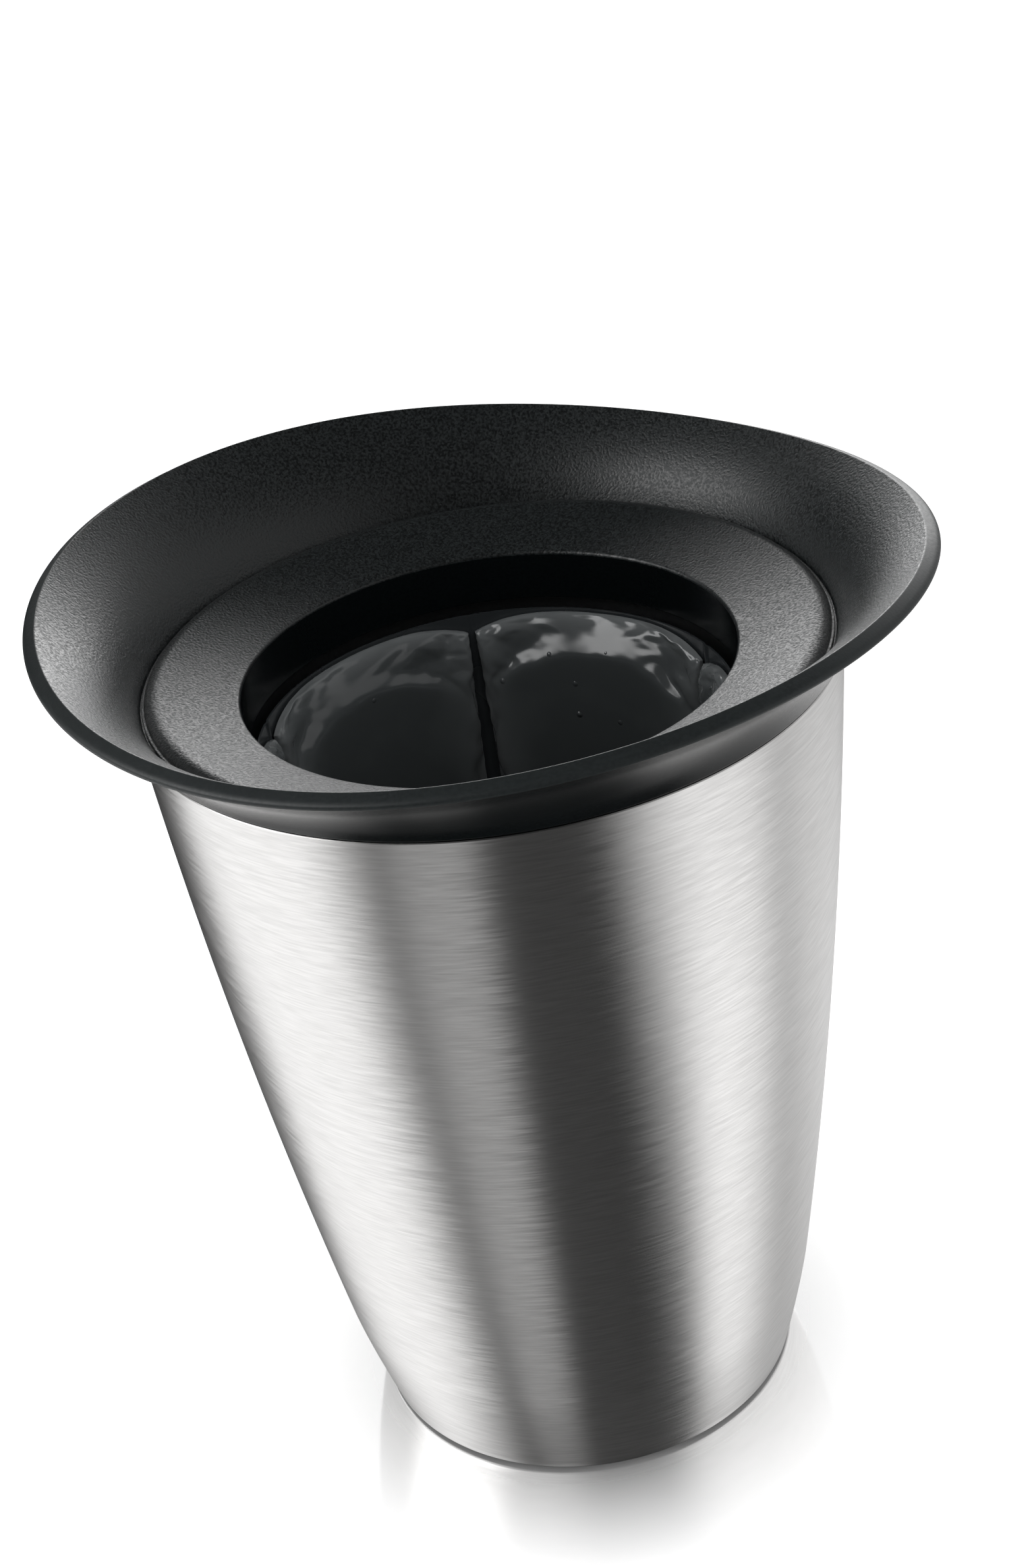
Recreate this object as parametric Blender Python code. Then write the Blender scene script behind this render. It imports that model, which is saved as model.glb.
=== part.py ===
"""Table-top champagne cooler, built as the pieces it comes apart into on a bench.

A tapered steel shell stands on a plastic base cap. A flared plastic collar closes its top, a
neck ring lifts out of the collar, and a sleeve of gel pads lifts out of the bottle well.

Units are metres and +Z is up. The origin is on the table, under the middle of the foot. The
collar's two high sides lie along X, its two low sides along Y.
"""

import math

import bmesh
import bpy

MM = 0.001
GAP = 0.3 * MM
MERGE = 0.001 * MM

# Steps round a full turn, and the angle past which two faces meet at a sharp edge
LARGE_STEPS = 56
SMALL_STEPS = 32
BORE_STEPS = 24
SCREW_STEPS = 12
ROUND_STEPS = 3
SHARP_ANGLE = math.radians(32)
EMPTY_SIZE = 20 * MM

# Steel shell: a barrelled taper with its foot tucked in and its floor flanged inward
SHELL_FOOT_Z = 2.0 * MM
SHELL_TOP_Z = 189.1 * MM
SHELL_TOP_R = 76.65 * MM
SHELL_LEAN = 13.1 * MM
SHELL_BELLY = 11.2 * MM
SHELL_TUCK = 1.6 * MM
SHELL_TUCK_HEIGHT = 25.0 * MM
SHELL_WALL = 0.6 * MM
SHELL_FOOT_FILLET = 1.5 * MM
SHELL_FOOT_RISE = 2.0 * MM
SHELL_FLOOR_HOLE_R = 42.0 * MM
SHELL_OUTER_STEPS = 9
SHELL_INNER_STEPS = 6
SHELL_FILLET_STEPS = 2

# Flared collar: its crest is a gentle saddle, wider and higher along X
CREST_R = 93.4 * MM
CREST_R_SWING = 2.9 * MM
CREST_Z = 211.7 * MM
CREST_Z_SWING = 3.4 * MM
LIP_WIDTH = 2.9 * MM
LIP_BAND_DROP = 1.1 * MM
LIP_NOSE = 0.6 * MM
LIP_DROP = 2.4 * MM
FLARE_FOOT_SLOPE = math.radians(70)
FLARE_CREST_SLOPE = math.radians(35)
FLARE_HANDLE = 0.36
UNDERSIDE_FOOT_SLOPE = math.radians(62)
FLARE_STEPS = 7
UNDERSIDE_STEPS = 5
SHELF_OUTER_R = 75.1 * MM
SHELF_INNER_R = 69.5 * MM
SHELF_TOP_Z = 190.7 * MM
SHELF_BOTTOM_Z = 186.8 * MM
SKIRT_WALL = 2.2 * MM
SKIRT_BOTTOM_Z = 179.0 * MM

# Rubber seal in a groove round the collar's skirt
SEAL_BOTTOM_Z = 183.0 * MM
SEAL_TOP_Z = 185.0 * MM
SEAL_GROOVE_DEPTH = 1.1 * MM

# Neck ring: a dished ledge round the opening, with a short tube down into the well
NECK_R = 54.0 * MM
NECK_WALL = 2.0 * MM
NECK_BOTTOM_Z = 176.5 * MM
LEDGE_INNER_R = 54.9 * MM
LEDGE_INNER_Z = 188.5 * MM
LEDGE_OUTER_R = 71.9 * MM
LEDGE_OUTER_Z = 193.5 * MM
LEDGE_EDGE_R = 74.4 * MM
LEDGE_PLATE = 2.2 * MM
LEDGE_TILT = 16
LEDGE_ROOT_R = 57.6 * MM
LEDGE_ROOT_Z = 187.4 * MM
RING_FOOT_R = 74.8 * MM
RING_FOOT_Z = SHELF_TOP_Z + GAP
RING_FOOT_THICK = 0.4 * MM

# Inner liner: the drafted plastic cup that is the bottle well
LINER_FLOOR_Z = 13.8 * MM
LINER_FLOOR_THICK = 3.0 * MM
LINER_FLOOR_R = 50.2 * MM
LINER_WALL = 1.8 * MM
LINER_TOP_R = 57.3 * MM
LINER_FLANGE_R = 72.5 * MM
LINER_FLANGE_TOP_Z = SHELF_BOTTOM_Z - GAP
LINER_FLANGE_THICK = 2.0 * MM
LINER_HEEL = 2.5 * MM

# Base cap and the four screws that pull it up to the liner
CAP_BOTTOM_Z = 0.8 * MM
CAP_RIM_R = 46.0 * MM
CAP_RIM_TOP_Z = SHELL_FOOT_Z - GAP
CAP_HUB_R = SHELL_FLOOR_HOLE_R - GAP
CAP_HUB_TOP_Z = 7.7 * MM
CAP_CHAMFER = 0.8 * MM
SCREW_COUNT = 4
SCREW_CIRCLE_R = 22.0 * MM
SCREW_HEAD_R = 3.8 * MM
SCREW_HEAD_BOTTOM_Z = 1.2 * MM
SCREW_HEAD_TOP_Z = 3.6 * MM
SCREW_SHANK_R = 1.8 * MM
SCREW_TIP_Z = 12.3 * MM
SCREW_HEX_HALF = 1.5 * MM
SCREW_HEX_DEPTH = 1.4 * MM
SCREW_CHAMFER = 0.4 * MM
BOSS_R = 5.0 * MM
BOSS_BOTTOM_Z = CAP_HUB_TOP_Z + GAP
BOSS_OVERLAP = 1.0 * MM
CUTTER_OVERRUN = 2.0 * MM

# Rubber foot ring in the cap's groove
FOOT_INNER_R = 31.0 * MM
FOOT_OUTER_R = 40.5 * MM
FOOT_TOP_Z = 1.7 * MM
FOOT_ROUND = 0.5 * MM

# Soft disc that the bottle stands on
REST_R = 44.0 * MM
REST_BOTTOM_Z = LINER_FLOOR_Z + GAP
REST_TOP_Z = 17.1 * MM
REST_EDGE = 0.8 * MM
REST_GROOVE_RADII = (14.0 * MM, 28.0 * MM)
REST_GROOVE_WIDTH = 2.4 * MM
REST_GROOVE_DEPTH = 1.0 * MM

# Cooling sleeve: gel pads welded side by side inside a backing film
SLEEVE_BOTTOM_Z = 14.9 * MM
SLEEVE_TOP_Z = 174.5 * MM
SLEEVE_BOTTOM_R = 49.7 * MM
SLEEVE_TOP_R = 52.9 * MM
FILM_WALL = 0.5 * MM
PAD_COUNT = 5
PAD_FIRST_CREASE = math.radians(64)
PAD_SIDE_GAP = math.radians(0.9)
PAD_SIDE_DRAW = math.radians(1.3)
PAD_BACK_GAP = 0.45 * MM
PAD_BOTTOM_Z = 15.5 * MM
PAD_TOP_Z = 174.0 * MM
PAD_CORNER_DROP = 3.5 * MM
PAD_EDGE = 0.9 * MM
PAD_CROWN_R = 45.0 * MM
PAD_ACROSS = 10
PAD_UP = 12
PAD_SIDE_POWER = 4
PAD_END_POWER = 30


def clear_scene():
    """Remove whatever the scene already holds."""
    for item in list(bpy.data.objects):
        bpy.data.objects.remove(item, do_unlink=True)


def make_material(name, colour, roughness, metallic):
    """A Principled surface of one colour."""
    material = bpy.data.materials.new(name)
    material.use_nodes = True
    shader = material.node_tree.nodes["Principled BSDF"]
    shader.inputs["Base Color"].default_value = (*colour, 1.0)
    shader.inputs["Roughness"].default_value = roughness
    shader.inputs["Metallic"].default_value = metallic
    material.diffuse_color = (*colour, 1.0)
    return material


def make_group(name, height):
    """An empty on the Z axis that carries one body of the cooler."""
    empty = bpy.data.objects.new(name, None)
    empty.location = (0.0, 0.0, height)
    empty.empty_display_size = EMPTY_SIZE
    bpy.context.collection.objects.link(empty)
    return empty


def make_object(name, bm, material, parent):
    """Close a built mesh and hang it on its parent, with its place kept."""
    bmesh.ops.remove_doubles(bm, verts=bm.verts, dist=MERGE)
    loose = [edge for edge in bm.edges if not edge.link_faces]
    bmesh.ops.delete(bm, geom=loose, context="EDGES")
    bmesh.ops.recalc_face_normals(bm, faces=bm.faces)
    mesh = bpy.data.meshes.new(name)
    bm.to_mesh(mesh)
    bm.free()
    mesh.shade_smooth()
    mesh.set_sharp_from_angle(angle=SHARP_ANGLE)
    mesh.materials.append(material)
    item = bpy.data.objects.new(name, mesh)
    bpy.context.collection.objects.link(item)
    item.parent = parent
    item.location = (0.0, 0.0, -parent.location.z)
    return item


def add_ring(bm, section_at, steps, centre=(0.0, 0.0)):
    """Carry a closed section of (radius, height) points once round an upright axis."""
    rings = []
    for step in range(steps):
        azimuth = 2 * math.pi * step / steps
        across = math.cos(azimuth)
        along = math.sin(azimuth)
        ring = []
        for radius, height in section_at(azimuth):
            point = (centre[0] + radius * across, centre[1] + radius * along, height)
            ring.append(bm.verts.new(point))
        rings.append(ring)
    for ring, following in zip(rings, rings[1:] + rings[:1]):
        for here in range(len(ring)):
            after = (here + 1) % len(ring)
            bm.faces.new((ring[here], following[here], following[after], ring[after]))


def turned(name, section, steps, material, parent):
    """A piece turned from one section."""
    bm = bmesh.new()
    add_ring(bm, lambda azimuth: section, steps)
    return make_object(name, bm, material, parent)


def arc(centre, radius, start, end, count):
    """Points along an arc in the (radius, height) plane, both ends included."""
    points = []
    for step in range(count + 1):
        angle = math.radians(start + (end - start) * step / count)
        points.append((centre[0] + radius * math.cos(angle), centre[1] + radius * math.sin(angle)))
    return points


def curve_between(start, start_slope, end, end_slope, count):
    """A smooth curve that leaves start and reaches end at the given slopes."""
    reach = FLARE_HANDLE * math.dist(start, end)
    leave = (start[0] + reach * math.cos(start_slope), start[1] + reach * math.sin(start_slope))
    arrive = (end[0] - reach * math.cos(end_slope), end[1] - reach * math.sin(end_slope))
    points = []
    for step in range(count + 1):
        t = step / count
        weights = ((1 - t) ** 3, 3 * t * (1 - t) ** 2, 3 * t * t * (1 - t), t**3)
        corners = (start, leave, arrive, end)
        points.append(tuple(sum(w * c[k] for w, c in zip(weights, corners)) for k in (0, 1)))
    return points


def between(low, high, count):
    """Evenly spaced values from low to high, both included."""
    return [low + (high - low) * step / count for step in range(count + 1)]


def shell_radius(height):
    """Outer radius of the steel at a height above the table."""
    drop = (SHELL_TOP_Z - height) / (SHELL_TOP_Z - SHELL_FOOT_Z)
    tuck = max(0.0, 1 - (height - SHELL_FOOT_Z) / SHELL_TUCK_HEIGHT)
    return SHELL_TOP_R - SHELL_LEAN * drop - SHELL_BELLY * drop**2 - SHELL_TUCK * tuck**1.5


def liner_radius(height):
    """Inner radius of the drafted liner at a height above the table."""
    share = (height - LINER_FLOOR_Z) / (LINER_FLANGE_TOP_Z - LINER_FLOOR_Z)
    return LINER_FLOOR_R + (LINER_TOP_R - LINER_FLOOR_R) * share


def sleeve_radius(height):
    """Outer radius of the sleeve's film at a height above the table."""
    share = (height - SLEEVE_BOTTOM_Z) / (SLEEVE_TOP_Z - SLEEVE_BOTTOM_Z)
    return SLEEVE_BOTTOM_R + (SLEEVE_TOP_R - SLEEVE_BOTTOM_R) * share


def make_shell(material, parent):
    """Brushed steel wall, open at the top, with a flange turned in under the foot."""
    foot_z = SHELL_FOOT_Z + SHELL_FOOT_FILLET
    corner = (shell_radius(foot_z) - SHELL_FOOT_FILLET, foot_z)
    wall_z = between(SHELL_TOP_Z, foot_z + SHELL_FOOT_RISE, SHELL_OUTER_STEPS)
    outer = [(shell_radius(z), z) for z in wall_z]
    heel = arc(corner, SHELL_FOOT_FILLET, 0, -90, SHELL_FILLET_STEPS)
    floor_z = SHELL_FOOT_Z + SHELL_WALL
    flange = [(SHELL_FLOOR_HOLE_R, SHELL_FOOT_Z), (SHELL_FLOOR_HOLE_R, floor_z), (corner[0], floor_z)]
    inner_z = between(foot_z, SHELL_TOP_Z, SHELL_INNER_STEPS)
    inner = [(shell_radius(z) - SHELL_WALL, z) for z in inner_z]
    return turned("steel_shell", outer + heel + flange + inner, LARGE_STEPS, material, parent)


def collar_section(azimuth):
    """Section of the collar where its crest lies at this azimuth."""
    swing = math.cos(2 * azimuth)
    crest_r = CREST_R + CREST_R_SWING * swing
    crest_z = CREST_Z + CREST_Z_SWING * swing
    flare_foot = (SHELF_OUTER_R, SHELF_TOP_Z)
    crest = (crest_r, crest_z)
    flare = curve_between(flare_foot, FLARE_FOOT_SLOPE, crest, FLARE_CREST_SLOPE, FLARE_STEPS)
    edge_r = crest_r + LIP_WIDTH
    lip = [
        (edge_r - LIP_NOSE, crest_z - LIP_BAND_DROP),
        (edge_r, crest_z - LIP_BAND_DROP - LIP_NOSE),
        (edge_r, crest_z - LIP_DROP),
    ]
    joint_z = SHELL_TOP_Z + GAP
    under_foot = (SHELL_TOP_R, joint_z)
    under_edge = (edge_r - LIP_NOSE, crest_z - LIP_DROP - GAP)
    under = curve_between(
        under_foot, UNDERSIDE_FOOT_SLOPE, under_edge, FLARE_CREST_SLOPE, UNDERSIDE_STEPS
    )
    tucked = SHELL_WALL + GAP
    groove_r = shell_radius(SEAL_BOTTOM_Z) - tucked - SEAL_GROOVE_DEPTH
    skirt_inner_r = shell_radius(SKIRT_BOTTOM_Z) - tucked - SKIRT_WALL
    skirt = [
        (SHELL_TOP_R - tucked, joint_z),
        (shell_radius(SEAL_TOP_Z) - tucked, SEAL_TOP_Z + GAP),
        (groove_r, SEAL_TOP_Z + GAP),
        (groove_r, SEAL_BOTTOM_Z - GAP),
        (shell_radius(SEAL_BOTTOM_Z) - tucked, SEAL_BOTTOM_Z - GAP),
        (shell_radius(SKIRT_BOTTOM_Z) - tucked, SKIRT_BOTTOM_Z),
        (skirt_inner_r, SKIRT_BOTTOM_Z),
        (skirt_inner_r, SHELF_BOTTOM_Z),
        (SHELF_INNER_R, SHELF_BOTTOM_Z),
        (SHELF_INNER_R, SHELF_TOP_Z),
    ]
    return flare + lip + under[::-1] + skirt


def make_collar(material, parent):
    """Flared collar: trumpet mouth, rolled lip, shelf for the neck ring and a skirt in the shell."""
    bm = bmesh.new()
    add_ring(bm, collar_section, LARGE_STEPS)
    return make_object("flared_collar", bm, material, parent)


def make_seal(material, parent):
    """Rubber band between the collar's skirt and the steel."""
    tucked = SHELL_WALL + GAP
    outer_r = shell_radius(SEAL_BOTTOM_Z) - tucked
    inner_r = outer_r - SEAL_GROOVE_DEPTH + GAP
    section = [
        (outer_r, SEAL_TOP_Z),
        (outer_r, SEAL_BOTTOM_Z),
        (inner_r, SEAL_BOTTOM_Z),
        (inner_r, SEAL_TOP_Z),
    ]
    return turned("collar_seal", section, LARGE_STEPS, material, parent)


def make_neck_ring(material, parent):
    """Dished ledge with rounded edges, a thin foot on the shelf and a tube into the well."""
    lip_r = LEDGE_INNER_R - NECK_R
    lip = arc((LEDGE_INNER_R, LEDGE_INNER_Z - lip_r), lip_r, 180, 90 + LEDGE_TILT, ROUND_STEPS)
    edge_r = LEDGE_EDGE_R - LEDGE_OUTER_R
    foot_top_z = RING_FOOT_Z + RING_FOOT_THICK
    edge = arc((LEDGE_OUTER_R, LEDGE_OUTER_Z - edge_r), edge_r, 90 + LEDGE_TILT, 0, ROUND_STEPS)
    tube_r = NECK_R + NECK_WALL
    section = [(NECK_R, NECK_BOTTOM_Z)]
    section += lip
    section += edge
    section += [
        (LEDGE_EDGE_R, foot_top_z),
        (RING_FOOT_R, foot_top_z),
        (RING_FOOT_R, RING_FOOT_Z),
        (LEDGE_OUTER_R, RING_FOOT_Z),
        (LEDGE_OUTER_R - LEDGE_PLATE, LEDGE_OUTER_Z - LEDGE_PLATE),
        (LEDGE_ROOT_R, LEDGE_ROOT_Z),
        (tube_r, LEDGE_ROOT_Z - NECK_WALL),
        (tube_r, NECK_BOTTOM_Z),
    ]
    return turned("neck_ring", section[::-1], LARGE_STEPS, material, parent)


def screw_places():
    """Centres of the base screws."""
    places = []
    for number in range(SCREW_COUNT):
        azimuth = 2 * math.pi * (number + 0.5) / SCREW_COUNT
        places.append((SCREW_CIRCLE_R * math.cos(azimuth), SCREW_CIRCLE_R * math.sin(azimuth)))
    return places


def make_tool(name, section, parent):
    """Four turned bodies, one at each screw, used to join or cut another piece."""
    bm = bmesh.new()
    for place in screw_places():
        add_ring(bm, lambda azimuth: section, BORE_STEPS, place)
    tool = make_object(name, bm, None, parent)
    tool.hide_render = True
    tool.display_type = "WIRE"
    return tool


def use_tool(item, tool, operation):
    """Join or cut a piece with a tool, exactly."""
    modifier = item.modifiers.new(tool.name, "BOOLEAN")
    modifier.operation = operation
    modifier.solver = "EXACT"
    modifier.object = tool


def rod(radius, bottom, top):
    """Section of a plain upright rod."""
    return [(0.0, top), (radius, top), (radius, bottom), (0.0, bottom)]


def make_liner(material, parent):
    """Drafted cup with a flange under the collar's shelf and screw bosses under its floor."""
    under_z = LINER_FLOOR_Z - LINER_FLOOR_THICK
    flange_z = LINER_FLANGE_TOP_Z - LINER_FLANGE_THICK
    heel_r = liner_radius(LINER_FLOOR_Z) + LINER_WALL
    section = [
        (0.0, LINER_FLOOR_Z),
        (liner_radius(LINER_FLOOR_Z) - REST_EDGE, LINER_FLOOR_Z),
        (liner_radius(LINER_FLOOR_Z), LINER_FLOOR_Z + REST_EDGE),
        (liner_radius(LINER_FLANGE_TOP_Z), LINER_FLANGE_TOP_Z),
        (LINER_FLANGE_R, LINER_FLANGE_TOP_Z),
        (LINER_FLANGE_R, flange_z),
        (liner_radius(flange_z) + LINER_WALL, flange_z),
        (heel_r, LINER_FLOOR_Z),
        (heel_r - LINER_HEEL, under_z),
        (0.0, under_z),
    ]
    liner = turned("inner_liner", section, LARGE_STEPS, material, parent)
    bosses = make_tool("boss_join", rod(BOSS_R, BOSS_BOTTOM_Z, under_z + BOSS_OVERLAP), parent)
    pilots = make_tool("pilot_cut", rod(SCREW_SHANK_R + GAP, 0.0, SCREW_TIP_Z + GAP), parent)
    use_tool(liner, bosses, "UNION")
    use_tool(liner, pilots, "DIFFERENCE")
    return liner


def make_base_cap(material, parent):
    """Round cap through the shell's floor, grooved for the foot ring and bored for the screws."""
    groove_in = FOOT_INNER_R - GAP
    groove_out = FOOT_OUTER_R + GAP
    groove_z = FOOT_TOP_Z + GAP
    section = [
        (0.0, CAP_HUB_TOP_Z),
        (CAP_HUB_R - CAP_CHAMFER, CAP_HUB_TOP_Z),
        (CAP_HUB_R, CAP_HUB_TOP_Z - CAP_CHAMFER),
        (CAP_HUB_R, CAP_RIM_TOP_Z),
        (CAP_RIM_R, CAP_RIM_TOP_Z),
        (CAP_RIM_R, CAP_BOTTOM_Z),
        (groove_out, CAP_BOTTOM_Z),
        (groove_out, groove_z),
        (groove_in, groove_z),
        (groove_in, CAP_BOTTOM_Z),
        (0.0, CAP_BOTTOM_Z),
    ]
    cap = turned("base_cap", section, SMALL_STEPS, material, parent)
    head_r = SCREW_HEAD_R + GAP
    shank_r = SCREW_SHANK_R + GAP
    bore = [
        (0.0, CAP_HUB_TOP_Z + CUTTER_OVERRUN),
        (shank_r, CAP_HUB_TOP_Z + CUTTER_OVERRUN),
        (shank_r, SCREW_HEAD_TOP_Z + GAP),
        (head_r, SCREW_HEAD_TOP_Z + GAP),
        (head_r, CAP_BOTTOM_Z - CUTTER_OVERRUN),
        (0.0, CAP_BOTTOM_Z - CUTTER_OVERRUN),
    ]
    use_tool(cap, make_tool("screw_bore_cut", bore, parent), "DIFFERENCE")
    return cap


def screw_section(azimuth):
    """Section of a screw whose head holds a six-sided socket."""
    from_flat = math.remainder(azimuth - math.pi / 6, math.pi / 3)
    socket_r = SCREW_HEX_HALF / math.cos(from_flat)
    socket_z = SCREW_HEAD_BOTTOM_Z + SCREW_HEX_DEPTH
    return [
        (0.0, SCREW_TIP_Z),
        (SCREW_SHANK_R - SCREW_CHAMFER, SCREW_TIP_Z),
        (SCREW_SHANK_R, SCREW_TIP_Z - SCREW_CHAMFER),
        (SCREW_SHANK_R, SCREW_HEAD_TOP_Z),
        (SCREW_HEAD_R, SCREW_HEAD_TOP_Z),
        (SCREW_HEAD_R, SCREW_HEAD_BOTTOM_Z + SCREW_CHAMFER),
        (SCREW_HEAD_R - SCREW_CHAMFER, SCREW_HEAD_BOTTOM_Z),
        (socket_r, SCREW_HEAD_BOTTOM_Z),
        (socket_r, socket_z),
        (0.0, socket_z),
    ]


def make_screws(material, parent):
    """Four socket screws, each its own piece."""
    screws = []
    for number, place in enumerate(screw_places(), start=1):
        bm = bmesh.new()
        add_ring(bm, screw_section, SCREW_STEPS, place)
        screws.append(make_object(f"base_screw_{number}", bm, material, parent))
    return screws


def make_foot_ring(material, parent):
    """Non-slip rubber ring that the cooler stands on."""
    section = [
        (FOOT_OUTER_R, FOOT_TOP_Z),
        (FOOT_OUTER_R, FOOT_ROUND),
        (FOOT_OUTER_R - FOOT_ROUND, 0.0),
        (FOOT_INNER_R + FOOT_ROUND, 0.0),
        (FOOT_INNER_R, FOOT_ROUND),
        (FOOT_INNER_R, FOOT_TOP_Z),
    ]
    return turned("foot_ring", section, SMALL_STEPS, material, parent)


def make_bottle_rest(material, parent):
    """Soft disc on the well's floor, with two drain grooves."""
    section = [(0.0, REST_TOP_Z)]
    for radius in REST_GROOVE_RADII:
        half = REST_GROOVE_WIDTH / 2
        section += [
            (radius - half, REST_TOP_Z),
            (radius, REST_TOP_Z - REST_GROOVE_DEPTH),
            (radius + half, REST_TOP_Z),
        ]
    section += [
        (REST_R - REST_EDGE, REST_TOP_Z),
        (REST_R, REST_TOP_Z - REST_EDGE),
        (REST_R, REST_BOTTOM_Z),
        (0.0, REST_BOTTOM_Z),
    ]
    return turned("bottle_rest", section, SMALL_STEPS, material, parent)


def make_film(material, parent):
    """Backing film of the sleeve, a thin open cone."""
    section = [
        (SLEEVE_TOP_R, SLEEVE_TOP_Z),
        (SLEEVE_BOTTOM_R, SLEEVE_BOTTOM_Z),
        (SLEEVE_BOTTOM_R - FILM_WALL, SLEEVE_BOTTOM_Z),
        (SLEEVE_TOP_R - FILM_WALL, SLEEVE_TOP_Z),
    ]
    return turned("sleeve_film", section, LARGE_STEPS, material, parent)


def pad_point(centre, across, up, fullness):
    """A point of a gel pad.

    across and up run from -1 to 1 over the pad's back. fullness is 0 on the back, which lies
    along the film, and 1 on the crowned face, which swells towards the bottle.
    """
    half_angle = math.pi / PAD_COUNT - PAD_SIDE_GAP - PAD_SIDE_DRAW * (1 - up * up)
    azimuth = centre + across * half_angle
    half_height = (PAD_TOP_Z - PAD_BOTTOM_Z) / 2 - PAD_CORNER_DROP * across**4
    height = (PAD_TOP_Z + PAD_BOTTOM_Z) / 2 + up * half_height
    back_r = sleeve_radius(height) - FILM_WALL - PAD_BACK_GAP
    crown = math.sqrt(max(0.0, (1 - across**PAD_SIDE_POWER) * (1 - up**PAD_END_POWER)))
    thickness = PAD_EDGE + (back_r - PAD_CROWN_R - PAD_EDGE) * crown
    radius = back_r - fullness * thickness
    return (radius * math.cos(azimuth), radius * math.sin(azimuth), height)


def pad_steps(count):
    """Values from -1 to 1 that crowd towards both ends, where a pad curves most."""
    return [math.sin(math.pi / 2 * value) for value in between(-1, 1, count)]


def make_pad(number, material, parent):
    """One gel pad: flat-backed, crowned, drawn in at its sides and round at its corners."""
    centre = PAD_FIRST_CREASE + 2 * math.pi * (number - 0.5) / PAD_COUNT
    bm = bmesh.new()
    across_steps = pad_steps(PAD_ACROSS)
    up_steps = pad_steps(PAD_UP)
    faces = []
    for fullness in (0, 1):
        grid = []
        for up in up_steps:
            row = [bm.verts.new(pad_point(centre, across, up, fullness)) for across in across_steps]
            grid.append(row)
        faces.append(grid)
        for low, high in zip(grid, grid[1:]):
            for side in range(PAD_ACROSS):
                bm.faces.new((low[side], low[side + 1], high[side + 1], high[side]))
    back, front = (grid_outline(grid) for grid in faces)
    for here in range(len(back)):
        after = (here + 1) % len(back)
        bm.faces.new((back[here], back[after], front[after], front[here]))
    return make_object(f"gel_pad_{number}", bm, material, parent)


def grid_outline(grid):
    """The vertices round the outside of a grid, in order."""
    bottom = grid[0]
    top = grid[-1]
    right = [row[-1] for row in grid[1:-1]]
    left = [row[0] for row in grid[1:-1]]
    return bottom + right + top[::-1] + left[::-1]


def main():
    """Build every piece of the cooler."""
    clear_scene()
    steel = make_material("brushed steel", (0.62, 0.61, 0.60), 0.32, 1.0)
    black = make_material("black textured plastic", (0.022, 0.023, 0.024), 0.55, 0.0)
    inner = make_material("black smooth plastic", (0.015, 0.015, 0.016), 0.45, 0.0)
    rubber = make_material("black rubber", (0.02, 0.02, 0.02), 0.75, 0.0)
    gel = make_material("grey gel pad", (0.10, 0.105, 0.11), 0.18, 0.0)
    film = make_material("dark film", (0.05, 0.052, 0.055), 0.25, 0.0)
    zinc = make_material("zinc plated steel", (0.55, 0.55, 0.56), 0.35, 1.0)

    bucket = make_group("bucket_axis", 0.0)
    make_shell(steel, bucket)
    make_liner(inner, bucket)
    make_collar(black, bucket)
    make_seal(rubber, bucket)
    make_base_cap(inner, bucket)
    make_foot_ring(rubber, bucket)
    make_screws(zinc, bucket)
    make_bottle_rest(rubber, bucket)

    ring = make_group("ring_lift_axis", RING_FOOT_Z)
    make_neck_ring(black, ring)

    sleeve = make_group("sleeve_lift_axis", SLEEVE_BOTTOM_Z)
    make_film(film, sleeve)
    for number in range(1, PAD_COUNT + 1):
        make_pad(number, gel, sleeve)


main()
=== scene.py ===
"""Looks of a table-top champagne cooler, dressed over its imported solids.

Every piece is a surface worked out with numpy from the cooler's own sizes, in millimetres. It stands
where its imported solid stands, replaces that solid and rides on the same body. Heights are above the
table, radii are from the cooler's axis, and azimuths run anticlockwise from +X, seen from above.
"""

import logging
import math
from dataclasses import dataclass
from enum import Enum

import bmesh
import bpy
import numpy as np
from mathutils import Matrix


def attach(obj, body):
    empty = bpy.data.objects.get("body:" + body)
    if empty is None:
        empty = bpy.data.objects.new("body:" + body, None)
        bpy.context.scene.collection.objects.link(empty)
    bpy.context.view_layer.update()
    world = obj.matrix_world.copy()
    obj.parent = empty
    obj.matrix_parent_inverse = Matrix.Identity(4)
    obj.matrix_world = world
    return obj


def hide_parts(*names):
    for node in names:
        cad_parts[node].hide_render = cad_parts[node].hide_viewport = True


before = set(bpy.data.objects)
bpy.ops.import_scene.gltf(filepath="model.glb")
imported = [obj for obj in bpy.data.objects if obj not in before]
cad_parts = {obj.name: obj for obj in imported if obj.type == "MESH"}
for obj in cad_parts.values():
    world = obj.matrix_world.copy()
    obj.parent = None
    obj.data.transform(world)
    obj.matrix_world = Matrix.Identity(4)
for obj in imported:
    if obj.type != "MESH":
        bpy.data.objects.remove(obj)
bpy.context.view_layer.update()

LOG = logging.getLogger("cooler")
MM = 0.001
TURN = 2 * math.pi
MERGE_MM = 0.001
SHARP_ANGLE = math.radians(40)
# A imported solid's object keeps its node's name, so the piece that stands for it adds this.
PIECE_SUFFIX = ".dressed"
# Most of a noise texture's values lie in this range.
NOISE_RANGE = (0.3, 0.7)
# A share runs through this one.
WHOLE = (0.0, 1.0)

Array = np.ndarray
Colour = tuple[float, float, float, float]
Piece = bpy.types.Object
Material = bpy.types.Material
Tree = bpy.types.NodeTree
Node = bpy.types.Node
Socket = bpy.types.NodeSocket


class Body(Enum):
    """The bodies that the pieces ride on."""

    BUCKET = "bucket"
    RING = "ring"
    SLEEVE = "sleeve"


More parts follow.
